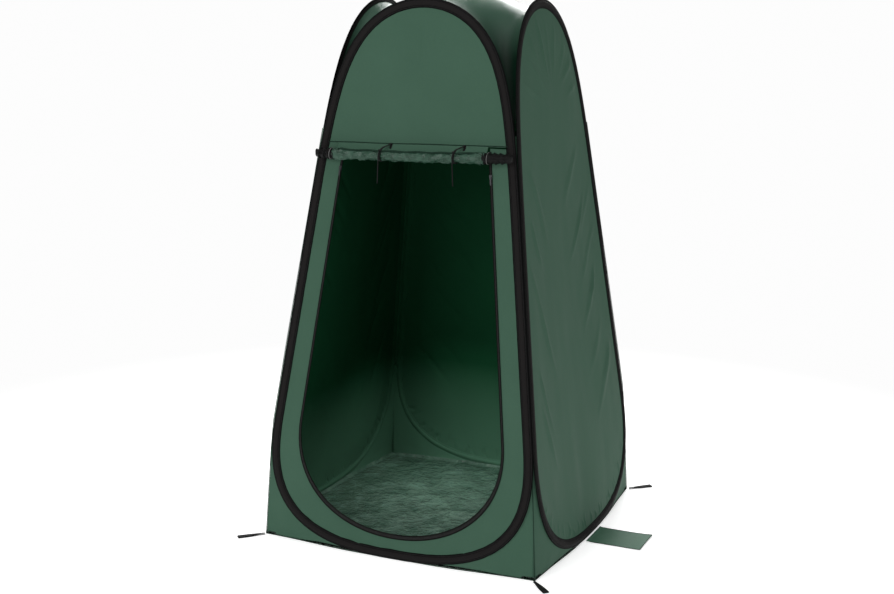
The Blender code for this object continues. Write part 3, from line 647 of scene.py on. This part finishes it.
def corner_line(side, hand, z):
    """World points on a wall's corner seam, which is also a hinge, at heights z."""
    z = np.asarray(z)
    opens_flat = hand < 0 if side % 2 == 0 else hand > 0
    foot = HALF + HINGE_OUT if opens_flat else HALF
    pull = (foot - HALF + CORNER_IN) * np.clip(1 - z / KINK_AT, 0, 1) ** 1.15
    across = foot * (1 - z / (HALF / math.tan(LEAN))) - pull
    return points_of(*spin(side, hand * across, -across), z)


def corner_cloth(side, hand):
    """Cloth from the hoop out to the corner seam: the low triangular gusset and the narrow strip above it.

    Piping runs along its foot, and up the corner seam of the right-hand one.
    """
    outline = egg_points(HOOP)
    rim = evenly(outline[(outline[:, 0] > 0.05) & (outline[:, 1] < ROOF_FROM + 0.02)][::-1], 150)
    inner = rim - 0.0045 * path_sides(rim)
    inner[:, 1] = np.maximum(inner[:, 1] - 0.0105 * smooth_step(-rim[:, 1], -0.1, -0.02), 0.004)
    v = np.concatenate([[0.0012], np.maximum.accumulate(inner[:, 1])])
    v = v + 1e-5 * np.arange(len(v))
    u = np.concatenate([[inner[0, 0]], inner[:, 0]])
    share = np.linspace(0, 1, 22)
    start, end = wall_world(side, hand * u, v, 0.0)[:, None], corner_line(side, hand, v * COS)[:, None]
    width = np.linalg.norm(end - start, axis=-1)
    uv = points_of(hand * (u[:, None] + width * share), v[:, None])
    fold = noise_map(uv, (6.0, 3.0), side * 2 + hand + 40, 3) * np.sin(np.pi * share) ** 0.8
    slack = 0.006 * fold * np.clip(width / 0.25, 0, 1) * smooth_step(v[:, None], 0.0, 0.05)
    flat = start * (1 - share[:, None]) + end * share[:, None]
    grid = flat + slack[..., None] * outward_of(side, flat)
    name = f"{SIDES[side]}_gusset_{'right' if hand > 0 else 'left'}"
    split = int(np.searchsorted(v, GUSSET_TOP))
    parts = (("cloth", slice(0, split + 1), (0.45, 0.45), 0.065, [name]),
             ("strip", slice(split, None), (0.022, 1.15), 0.016, []))
    for part, rows, size, area, nodes in parts:
        out = outward_of(side, grid[rows])
        piece = cloth_sheet(f"{name}_{part}", grid[rows], uv[rows], out, CLOTH_OUT, CLOTH_IN)
        settle(piece, BODIES[side], "cloth", *nodes)
        flatten(piece, side)
    foot = corner_line(side, hand, np.array([0.003]))[0]
    low = wall_world(side, hand * float(u[0]), 0.003, 0.0)
    base = low + (foot - low) * np.linspace(0, 1, 60)[:, None]
    if hand > 0:
        base = np.vstack([base, corner_line(side, hand, np.linspace(0.004, ROOF_FROM, 90))])
    line = evenly(base, 150)
    hem = cord_mesh(name + "_piping", line + 0.0018 * outward_of(side, line), 0.0012, SEAM_AND_SHADOW_THREAD)
    settle(hem, BODIES[side], "cloth")
    flatten(hem, side)


def seam_strip():
    """Felled seam between header and door."""
    half = float(egg_half(HOOP, SEAM_AT)) - 0.012
    u = np.linspace(-half, half, 120)
    wave = 0.0012 * noise_map(points_of(u, 0), (5, 1), 2.2, 2)
    section = np.array([(0.0017, 0.001), (0.0013, 0.002), (0.0, 0.0023), (-0.0013, 0.002),
                        (-0.0017, 0.001)])
    rings, uv = wall_sweep(0, points_of(u, SEAM_AT + wave + climb(u)), section)
    settle(tube("header_seam", rings, uv, [SEAM_AND_SHADOW_THREAD]), FRONT, "cloth")


def zip_half():
    """The surround's half of the zip: narrower up its straight sides than round its foot."""
    path = evenly(below(egg_points(DOOR), SEAM_AT - 0.012), 320)
    section = np.array([(-0.01, 0.0008), (-0.0104, 0.0022), (-0.0092, 0.0034), (-0.0072, 0.0034),
                        (-0.006, 0.0022), (-0.0052, 0.0018), (0.006, 0.0018), (0.0066, 0.0028),
                        (0.0086, 0.003), (0.0098, 0.0022), (0.01, 0.0008)])
    slim = -0.48 * smooth_step(path[:, 1:2], 0.12, 0.5)
    rings, uv = wall_sweep(0, path, section, wobble=lambda run, across: (slim * across, 0 * slim))
    settle(tube("zip_tape_cloth", rings, uv, [ZIP]), FRONT, "zip", "door_zip_tape")


# ---- Rolled door ----
def climb(u):
    """How far the seam stands above its CAD height at u."""
    return TILT * (u + 0.1)


def roll_v(u):
    """Height of the roll's middle, which sags between its ends."""
    t = (u - ROLL_LEFT) / (ROLL_RIGHT - ROLL_LEFT)
    return ROLL_V + climb(u) - 0.003 * np.sin(np.pi * np.clip(t, 0, 1))


def beside_tie(u, reach):
    """1 at each tie, falling to 0 within reach of it."""
    return sum(np.exp(-((u - t) / reach) ** 2) for t in TIES.values())


def roll_radius(u, turn):
    """Radius of the rolled door: fuller at its ends, pinched at its ties, creased on the slant."""
    round_it = points_of(u, np.cos(turn), np.sin(turn))
    warp = noise_map(round_it, (9.0, 0.9, 0.9), 2.0, 3)
    bend = noise_map(round_it, (4.0, 1.3, 1.3), 6.0, 2)
    ends = 0.2 * np.exp(-((u - ROLL_LEFT) / 0.045) ** 2) + 0.18 * np.exp(-((ROLL_RIGHT - u) / 0.05) ** 2)
    first = 1 - np.abs(np.sin(0.5 * (88.0 * u + turn) + 2.4 * warp))
    second = 1 - np.abs(np.sin(0.5 * (140.0 * u - 2 * turn) + 2.8 * bend))
    deep = 0.45 + 0.75 * smooth_step(bend + 0.6 * beside_tie(u, 0.045), -0.2, 0.7)
    folds = 0.28 * first ** 2 + 0.18 * second ** 3 - 0.12
    return ROLL_R * (1 + ends - 0.11 * beside_tie(u, 0.012) + deep * folds + 0.05 * warp)


def rounds(stations, sides):
    """Share of the way along, and angle round, for each point of a roll."""
    turn = np.arange(sides) / sides * math.tau
    return np.broadcast_arrays(np.linspace(0, 1, stations)[:, None], turn)


def door_roll():
    """The door's cloth, rolled up under the seam."""
    t, turn = rounds(220, 64)
    u = ROLL_LEFT - 0.006 + (ROLL_RIGHT - ROLL_LEFT + 0.012) * t
    radius = roll_radius(u, turn)
    v = roll_v(u) + OVAL * radius * np.sin(turn)
    n = ROLL_N + 0.98 * radius * np.cos(turn)
    piece = tube("door_roll_cloth", wall_world(0, u, v, n), points_of(u, turn * ROLL_R), [ROLL_CLOTH])
    settle(piece, FRONT, "door_cloth", "door_roll")


def door_top():
    """The door's top edge, hanging from the seam into the roll, and a dark hem cord where they meet, which
    also paints the shadow in the fold there.
    """
    u = np.linspace(ROLL_LEFT - 0.004, ROLL_RIGHT + 0.004, 120)
    t = np.linspace(0, 1, 14)[:, None]
    top = SEAM_AT - 0.003 + climb(u)
    uv = points_of(u, top + (roll_v(u) + 0.009 - top) * t)
    drape = 0.0014 * noise_map(uv, (22.0, 6.0), 4.0, 3) * smooth_step(t, 0.0, 0.4)
    flap = wall_sheet("door_top_cloth", 0, uv, 0.0035 + (ROLL_N - 0.0195) * t ** 1.4 + drape, ROLL_CLOTH)
    settle(flap, FRONT, "door_cloth")
    run = u[4:-4]
    # Painted shadow: a dark hem cord laid along the roll's top, standing in for the shade in the fold
    hem_shadow_line = wall_world(0, run, roll_v(run) + 0.0172 + 0.0012 * np.sin(run * 60), ROLL_N + 0.012)
    settle(cord_mesh("door_top_hem", hem_shadow_line, 0.0034, SEAM_AND_SHADOW_THREAD), FRONT, "door_cloth")


def roll_end(hand):
    """Black zip tape wound up at one end of the roll, in overlapping slanted turns under a pale edge."""
    inner, outer, turns, edge_at = {"left": (ROLL_LEFT, -ROLL_TIP, 4, 0.2),
                                    "right": (ROLL_RIGHT, ROLL_TIP, 5, 0.17)}[hand]
    t, turn = rounds(90, 40)
    phase = (t * turns + 0.18 * np.sin(turn)) % 1.0
    close = np.sqrt(np.clip(1 - ((t - 0.93) / 0.07).clip(0, 1) ** 2, 0.0016, 1))
    rough = noise_map(points_of(t * 6, np.cos(turn), np.sin(turn)), (1, 1, 1), 11.0, 3)
    radius = (0.0176 * (1 - 0.26 * t ** 2) + 0.0058 * (1 - phase) ** 1.5 + 0.0011 * rough) * close
    u = inner + (outer - inner) * t
    rings = wall_world(0, u, roll_v(u) + radius * np.sin(turn), ROLL_N - 0.001 + radius * np.cos(turn))
    piece = tube(f"roll_end_{hand}_tape", rings, points_of(turn * 0.024, (phase - 0.5) * 0.02), [WOUND_TAPE])
    settle(piece, FRONT, "zip", f"roll_end_{hand}")
    a = np.linspace(0, math.tau, 60)
    at = inner + (outer - inner) * edge_at
    radius = 0.0212
    loop = wall_world(0, at + 0.0016 * np.sin(a), roll_v(at) + radius * np.sin(a),
                      ROLL_N - 0.001 + radius * np.cos(a))
    settle(cord_mesh(f"roll_end_{hand}_edge", loop, 0.0015, PALE_TAPE), FRONT, "zip")


def door_tie(hand):
    """Flat tape sewn in at the seam, passed round the roll and knotted on its upper front."""
    u0 = TIES[hand]
    a = np.radians(np.linspace(58, -200, 60))
    ring = [float(roll_v(u0)), ROLL_N] + (ROLL_R + 0.0016) * points_of(OVAL * np.sin(a), np.cos(a))
    top = np.array([[SEAM_AT + float(climb(u0 + 0.025)) - 0.001, 0.0042]])
    line = evenly(np.vstack([top, ring, top - [0, 0.001]]), 110)
    share = np.linspace(0, 1, len(line))[:, None]
    lean = 0.024 * (1 - smooth_step(share, 0.0, 0.2)) + 0.026 * smooth_step(share, 0.45, 1.0)
    out = path_sides(line)
    out *= np.sign(((line - line.mean(axis=0)) * out).sum(1, keepdims=True))
    w, h = np.array([(-0.0046, 0.0), (-0.004, 0.0018), (0.004, 0.0018), (0.0046, 0.0)]).T
    rings = wall_world(0, u0 + lean + w, line[:, :1] + h * out[:, :1], line[:, 1:] + h * out[:, 1:])
    piece = tube(f"door_tie_{hand}_tape", rings, points_of(run_length(line)[:, None], w), [WEBBING])
    settle(piece, FRONT, "webbing", f"door_tie_{hand}")
    tie_knot(hand, u0)
    tie_tail(hand, u0)


def tie_knot(hand, u0):
    """Overhand knot: three turns of tape over one another."""
    a = np.linspace(0, math.tau, 90)
    r = 0.0046
    across = r * 0.55 * (np.sin(a) + 1.3 * np.sin(2 * a))
    along = r * 0.6 * (np.cos(a) - 1.3 * np.cos(2 * a))
    off = 0.0248 - r * 0.4 * np.sin(3 * a)
    v = float(roll_v(u0)) + off * math.sin(KNOT_AT) + along * math.cos(KNOT_AT)
    n = ROLL_N + off * math.cos(KNOT_AT) - along * math.sin(KNOT_AT)
    piece = cord_mesh(f"tie_knot_{hand}_tape", wall_world(0, u0 + across, v, n), 0.002, WEBBING)
    settle(piece, FRONT, "webbing", f"tie_knot_{hand}")


def tie_tail(hand, u0):
    """Loose end of a tie, hanging from its knot."""
    off = 0.004
    top = wall_world(0, u0, float(roll_v(u0)) + (CAD_ROLL[0] + off) * math.sin(TAIL_AT),
                     ROLL_N + (CAD_ROLL[1] + off) * math.cos(TAIL_AT))
    drift = -TAIL_DRIFT if hand == "left" else TAIL_DRIFT
    route = [(share * drift, y, z) for share, y, z in TAIL_ROUTE]
    line = evenly(catmull(top + np.array(route), 90), 36)
    piece = cord_mesh(f"tie_tail_{hand}_tape", line, 0.0025, WEBBING, 10, 0.9)
    settle(piece, FRONT, "webbing", f"tie_tail_{hand}")


def catmull(knots, count):
    """Smooth curve through knots."""
    knots = np.asarray(knots, float)
    spans = len(knots) - 1
    out = []
    for t in np.linspace(0, spans, count):
        k = min(int(t), spans - 1)
        f = t - k
        p0, p1, p2, p3 = (knots[max(0, min(spans, k + j))] for j in (-1, 0, 1, 2))
        out.append(0.5 * (2 * p1 + (p2 - p0) * f + (2 * p0 - 5 * p1 + 4 * p2 - p3) * f ** 2
                          + (3 * p1 - p0 - 3 * p2 + p3) * f ** 3))
    return np.array(out)


# ---- Roof ----
def roof_surface(cells):
    """Skin stretched between the four arches: (cells + 1) x (cells + 1) world points."""
    v = np.linspace(ROOF_FROM + 0.004, HOOP["top"], 400)
    right = points_of(egg_half(HOOP, v), v)
    arch = np.vstack([right * [-1, 1], right[::-1]])
    points = wall_world(0, arch[:, 0], arch[:, 1], -0.005)
    inset = HALF - ROOF_FROM * SIN
    corner = np.array([inset, -inset, ROOF_FROM * COS])
    edge = evenly(np.vstack([corner * [-1, 1, 1], points, corner]), cells + 1)
    grid = np.zeros((cells + 1, cells + 1, 3))
    grid[..., 2] = 1.9
    line = np.linspace(-0.36, 0.36, cells + 1)
    grid[..., 0], grid[..., 1] = line[:, None], line[None, :]
    turned = [edge]
    for _ in range(3):
        e = turned[-1]
        turned.append(points_of(-e[:, 1], e[:, 0], e[:, 2]))
    for _ in range(3000):
        grid[:, 0], grid[-1, :] = turned[0], turned[1]
        grid[::-1, -1], grid[0, ::-1] = turned[2], turned[3]
        grid[1:-1, 1:-1] = (grid[:-2, 1:-1] + grid[2:, 1:-1] + grid[1:-1, :-2] + grid[1:-1, 2:]) / 4
    z = grid[..., 2]
    share = np.linspace(0, 1, cells + 1)
    across = (1 - share)[:, None] * z[:1, :] + share[:, None] * z[-1:, :]
    along = (1 - share)[None, :] * z[:, :1] + share[None, :] * z[:, -1:]
    grid[..., 2] = z + ROOF_DOME * (across + along - z[0, 0] - z)
    return grid


def square_grid(cells):
    """(x, y) from -1 to 1 over a square, and how far in from its edge each point is."""
    line = np.linspace(-1, 1, cells + 1)
    flat = np.stack(np.meshgrid(line, line, indexing="ij"), -1)
    return flat, 1 - np.abs(flat).max(axis=-1)


def quarter(side, grid):
    """One side's triangle of a square grid, from its edge to the middle.

    Gives its places, points and normals, and the faces of two such layers of points and their rim.
    """
    size = len(grid) - 1
    half = size // 2
    cells = [(i, k) for k in range(half + 1) for i in range(k, size - k + 1)]
    index = {cell: at for at, cell in enumerate(cells)}
    places = np.array(cells)
    points, normals = (np.rot90(layer, -side)[places[:, 0], places[:, 1]]
                       for layer in (grid, upward_normals(grid)))
    below = len(cells)
    faces, mats = [], []
    for k in range(half):
        for i in range(k, size - k):
            face = [index[q] for q in ((i, k), (i + 1, k), (i + 1, k + 1), (i, k + 1)) if q in index]
            if len(face) > 2:
                faces += [tuple(face), tuple(below + f for f in reversed(face))]
                mats += [0, 1]
    loop = [(i, 0) for i in range(size + 1)]
    loop += [(size - k, k) for k in range(1, half + 1)] + [(k, k) for k in range(half - 1, 0, -1)]
    for a, b in zip(loop, loop[1:] + loop[:1]):
        faces.append((index[a], below + index[a], below + index[b], index[b]))
        mats.append(0)
    return places, points, normals, faces, mats


def smooth_from(piece, normals):
    """Shades a piece with the whole surface's normals, so that no line shows beside its neighbours."""
    fix_normals(piece)
    piece.data.normals_split_custom_set_from_vertices([tuple(n) for n in normals])


def roof():
    """The roof in four gores, one to each wall, meeting along the diagonals."""
    cells = 48
    grid = roof_surface(cells)
    flat, edge = square_grid(cells)
    valley = smooth_step(np.abs(flat).min(axis=-1), 0.3, 0.75)
    soft = 0.0022 * noise_map(flat, (2.5, 2.5), 31.0, 2) * smooth_step(edge, 0.0, 0.1) * (1 - valley)
    grid = grid + upward_normals(grid) * soft[..., None]
    for side in range(4):
        gore(side, grid)


def gore(side, grid):
    """Triangle of the roof from one arch to the middle."""
    places, top, normals, faces, mats = quarter(side, grid)
    uv = (places - [len(grid) // 2, 0]) * 0.016
    verts, uvs = np.vstack([top, top - CLOTH * normals]), np.vstack([uv, uv])
    piece = make_object(f"roof_gore_{SIDES[side]}", verts, faces, uvs, [ROOF_CLOTH, CLOTH_IN], mats)
    smooth_from(piece, np.vstack([normals, -normals]))
    settle(piece, BODIES[side], "cloth", *(["roof"] if side == 0 else []))
    flatten(piece, side, -0.006)


# ---- Floor ----
def floor_reach(along):
    """How far the floor's edge stands from the middle: bowed out between its corners to meet the hoops."""
    return HALF - CORNER_IN + 0.002 + (CORNER_IN + 0.003) * (1 - smooth_step(np.abs(along), 0.25, 1.0))


def floor_quarters():
    """The ground sheet in four quarters, crinkled all over and turned up at its edge."""
    cells, thin, turn_up = 120, 0.0018, 0.011
    flat, edge = square_grid(cells)
    x, y = flat[..., 0], flat[..., 1]
    spread_x, spread_y = (floor_reach(along) * np.abs(out) ** 2 + (HALF - CORNER_IN) * (1 - np.abs(out) ** 2)
                          for out, along in ((x, y), (y, x)))
    fine = 1 - 2 * np.abs(noise_map(flat, (9.0, 9.0), 51.0, 4))
    coarse = noise_map(flat, (2.6, 2.6), 53.0, 3)
    height = np.maximum(0.0028 + 0.0016 * fine + 0.0022 * np.maximum(coarse, 0), thin)
    height = thin + (height - thin) * smooth_step(edge, 0.0, 0.06)
    height = height + turn_up * (1 - smooth_step(edge, 0.0, 0.5 / cells)) ** 2
    grid = points_of(x * spread_x, y * spread_y, height)
    for side in range(4):
        floor_quarter(side, grid)


def floor_quarter(side, grid):
    """Triangle of the floor from one wall's foot to the middle."""
    _, top, normals, faces, _ = quarter(side, grid)
    verts = np.vstack([top, top * [1, 1, 0] + [0, 0, LIFT]])
    piece = make_object(f"floor_quarter_{SIDES[side]}", verts, faces, verts[:, :2], [GROUND_SHEET])
    smooth_from(piece, np.vstack([normals, 0 * normals - [0, 0, 1]]))
    settle(piece, BODIES[side], "floor_cloth", *(["floor"] if side == 0 else []))
    out = np.round(wall_world(side, 0, 0, 1) - wall_world(side, 0, 0, 0), 6) * [1, 1, 0]
    anchor = wall_world(side, 0, 0, -WALL_OUT) * [1, 1, 0]
    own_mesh(piece)


# ---- Ground pieces ----
def stake_loop(where):
    """Webbing loop: gathered at the seam, spread and turned back on itself at its outer end."""
    joint = JOINTS["loop_turn_" + where]
    x, y, _ = joint["pos_m"]
    ax, ay, _ = joint["axis"]
    out, side = np.array([-ay, ax, 0.0]), np.array([ax, ay, 0.0])
    length, eye, thick = 0.112, 0.0034, 0.0013
    low, high = LIFT + thick / 2, LIFT + thick * 1.5 + eye
    mid, rad = (low + high) / 2, (high - low) / 2
    straight = length - rad - thick / 2
    t = np.linspace(0, 1, 30)
    a = np.linspace(-np.pi / 2, np.pi / 2, 14)[1:-1]
    lower = points_of(t * straight, low)
    bend = points_of(straight + rad * np.cos(a), mid + rad * np.sin(a))
    upper = points_of((1 - t) * straight, high - 0.0012 * t ** 2)
    line = evenly(np.vstack([lower, bend, upper]), 110)
    normal = path_sides(line)
    share = smooth_step(line[:, :1], 0.0, 0.08)
    profile = [(-1, -0.3), (-0.9, -0.5), (-0.5, -0.42), (0, -0.4), (0.5, -0.42), (0.9, -0.5), (1, -0.3)]
    w, h = np.array(profile + [(-w, -h) for w, h in profile]).T
    r = line[:, :1] + h * thick * normal[:, :1]
    z = np.maximum(line[:, 1:] + h * thick * normal[:, 1:], 0.0003)
    cup = np.maximum(0.002 * (1 - share) * w ** 2 * np.sign(line[:, 1:] - mid), 0)
    across = w * (0.0032 + 0.0078 * share)
    rings = [x, y, 0.0] + r[..., None] * out + across[..., None] * side + (z + cup)[..., None] * [0, 0, 1]
    uv = points_of(run_length(line)[:, None], w * 0.011)
    piece = tube(f"stake_loop_{where}_strap", rings, uv, [WEBBING], sharp=50)
    settle(piece, "stake_loop_" + where, "webbing", f"stake_loop_{where}")


def ground_flap():
    """Sheet lying on the ground outside the right wall, with a turned hem and a creased root."""
    low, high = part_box("ground_flap")
    x0, y0 = low[0] + 0.001, low[1] + 0.002
    x1, y1 = high[0] - 0.002, high[1] - 0.002
    t = np.linspace(0, 1, 60)[:, None]
    s = np.linspace(0, 1, 60)[None, :]
    x = x0 + (x1 - x0) * t
    y = y0 + (y1 - y0) * s - 0.003 * np.sin(np.pi * t) * (2 * s - 1)
    root = 1 - smooth_step(t, 0.0, 0.13)
    far_end = 0.003 * smooth_step(t, 0.75, 1.0) * (0.5 + 0.5 * np.sin(3.1 * s))
    crease = 0.0012 * np.exp(-((x - x0 - 0.028) / 0.0022) ** 2)
    z = 0.0022 + 0.003 * root ** 1.5 + 0.0007 * noise_map(points_of(x, y), (16, 9), 61.0, 3) * (1 - root)
    grid = points_of(x, y, np.maximum(z + far_end + crease, 0.0016))
    up = np.broadcast_to([0.0, 0.0, 1.0], grid.shape)
    piece = cloth_sheet("ground_flap_cloth", grid, grid[..., :2], up, FLAP_CLOTH, FLAP_CLOTH)
    settle(piece, "ground_flap", "cloth", "ground_flap")
    rim = np.vstack([grid[4:, 0], grid[-1, 1:], grid[4:, -1][::-1][1:]])
    settle(cord_mesh("ground_flap_hem", evenly(rim, 140), 0.0013, PIPING), "ground_flap", "cloth")


# ---- CAD parts that stay ----
def finish_metal():
    """Finishes the wires, ferrules, sliders and pulls, which stay as the CAD has them."""
    finishes = {"_hoop_wire": STEEL, "_hoop_ferrule": STEEL, "zip_slider": ENAMEL, "zip_pull": ENAMEL}
    for name, thing in frame["nodes"].items():
        for word, material in finishes.items():
            if word in name:
                thing.data.materials.clear()
                thing.data.materials.append(material)


# ---- Stage ----
def backdrop():
    """Even white world: dim for the tent's own light, and bright where it is looked at directly."""
    world = bpy.data.worlds.new("studio")
    world.use_nodes = True
    tree = world.node_tree
    shade = tree.nodes["Background"]
    kinds = ("Background", "LightPath", "MixShader")
    seen, ray, mix = (tree.nodes.new("ShaderNode" + kind) for kind in kinds)
    for node, colour, strength in ((shade, grey(1.0), 0.34), (seen, WHITE, 1.0)):
        node.inputs["Color"].default_value = colour
        node.inputs["Strength"].default_value = strength
    for source, target in zip((ray.outputs["Is Camera Ray"], shade.outputs[0], seen.outputs[0]), mix.inputs):
        tree.links.new(source, target)
    tree.links.new(mix.outputs[0], tree.nodes["World Output"].inputs["Surface"])
    bpy.context.scene.world = world


def stage():
    """White studio with five lamps."""
    view = bpy.context.scene.view_settings
    view.view_transform, view.look = "Standard", "None"
    backdrop()
    bpy.ops.mesh.primitive_circle_add(vertices=96, radius=60, fill_type="NGON", location=(0, 0, -0.0005))
    ground = bpy.context.object
    ground.name = "studio_floor"
    ground.data.materials.append(studio_floor())
    light("key", (-1.6, -7.0, 3.7), (0, 0, 1.0), 3.4, 232)
    light("fill", (6.5, -2.5, 4.4), (0, 0, 1.2), 4.0, 92)
    light("top", (0.0, -0.6, 8.0), (0, 0, 1.0), 5.0, 150)
    light("back", (-1.5, 5.5, 4.4), (0, 0, 1.9), 3.0, 500)
    light("doorway", (-0.14, 0.18, 0.74), (-0.14, 0.22, 0.0), 0.3, 1.4, 116)


def studio_floor():
    """White floor that catches soft shadows near the tent and runs into the white backdrop further out."""
    n = Nodes("pale_floor")
    n.set(Base_Color=n.ramp(n.noise(30.0), [(0.3, grey(0.86)), (0.7, grey(0.88))]),
          Roughness=0.9, Emission_Color=grey(1.0), Emission_Strength=0.5)
    out = n.add("VectorMath", {0: n.where}, operation="LENGTH").outputs["Value"]
    far = n.add("MapRange", {"Value": out, "From Min": 1.3, "From Max": 3.2}, interpolation_type="SMOOTHSTEP")
    glow = n.add("Emission", {"Color": WHITE, "Strength": 1.0}).outputs[0]
    mixed = n.add("MixShader", {0: far.outputs[0], 1: n.shader.outputs[0], 2: glow}).outputs[0]
    n.tree.links.new(mixed, n.tree.nodes["Material Output"].inputs["Surface"])
    return n.material


def light(name, place, target, size, power, spread=180):
    """Square lamp aimed at a target; only the fill stays out of reflections."""
    data = bpy.data.lights.new(name, "AREA")
    data.size, data.energy, data.spread = size, power, math.radians(spread)
    thing = bpy.data.objects.new(name, data)
    bpy.context.collection.objects.link(thing)
    thing.location = place
    thing.rotation_euler = (Vector(target) - Vector(place)).to_track_quat("-Z", "Y").to_euler()
    thing.visible_camera = False
    thing.visible_glossy = name != "fill"


def camera():
    """Standing eye height, a few steps from the front right corner."""
    eye, yaw, pitch, roll = (2.3323, -5.3975, 2.1324), 0.415, -0.2038, 0.0098
    look = Vector((-math.sin(yaw) * math.cos(pitch), math.cos(yaw) * math.cos(pitch), math.sin(pitch)))
    level = Vector((math.cos(yaw), math.sin(yaw), 0))
    up = level.cross(look)
    side = math.cos(roll) * level + math.sin(roll) * up
    top = math.cos(roll) * up - math.sin(roll) * level
    data = bpy.data.cameras.new("camera")
    data.lens, data.sensor_width = 59.07, 36.0
    thing = bpy.data.objects.new("camera", data)
    bpy.context.collection.objects.link(thing)
    thing.matrix_world = Matrix.Translation(eye) @ Matrix((side, top, -look)).transposed().to_4x4()
    bpy.context.scene.camera = thing


def build():
    camera()
    for hand in TIES:
        door_tie(hand)
    for side in range(4):
        hoop_sleeve(side)
        for hand in (-1, 1):
            corner_cloth(side, hand)
        if side:
            wall_cloth(side)
    front_header()
    door_surround()
    seam_strip()
    zip_half()
    door_roll()
    door_top()
    for hand in TIES:
        roll_end(hand)
    roof()
    floor_quarters()
    for where in ("front_left", "front_right", "rear_right", "rear_left"):
        stake_loop(where)
    ground_flap()
    finish_metal()
    stage()


build()
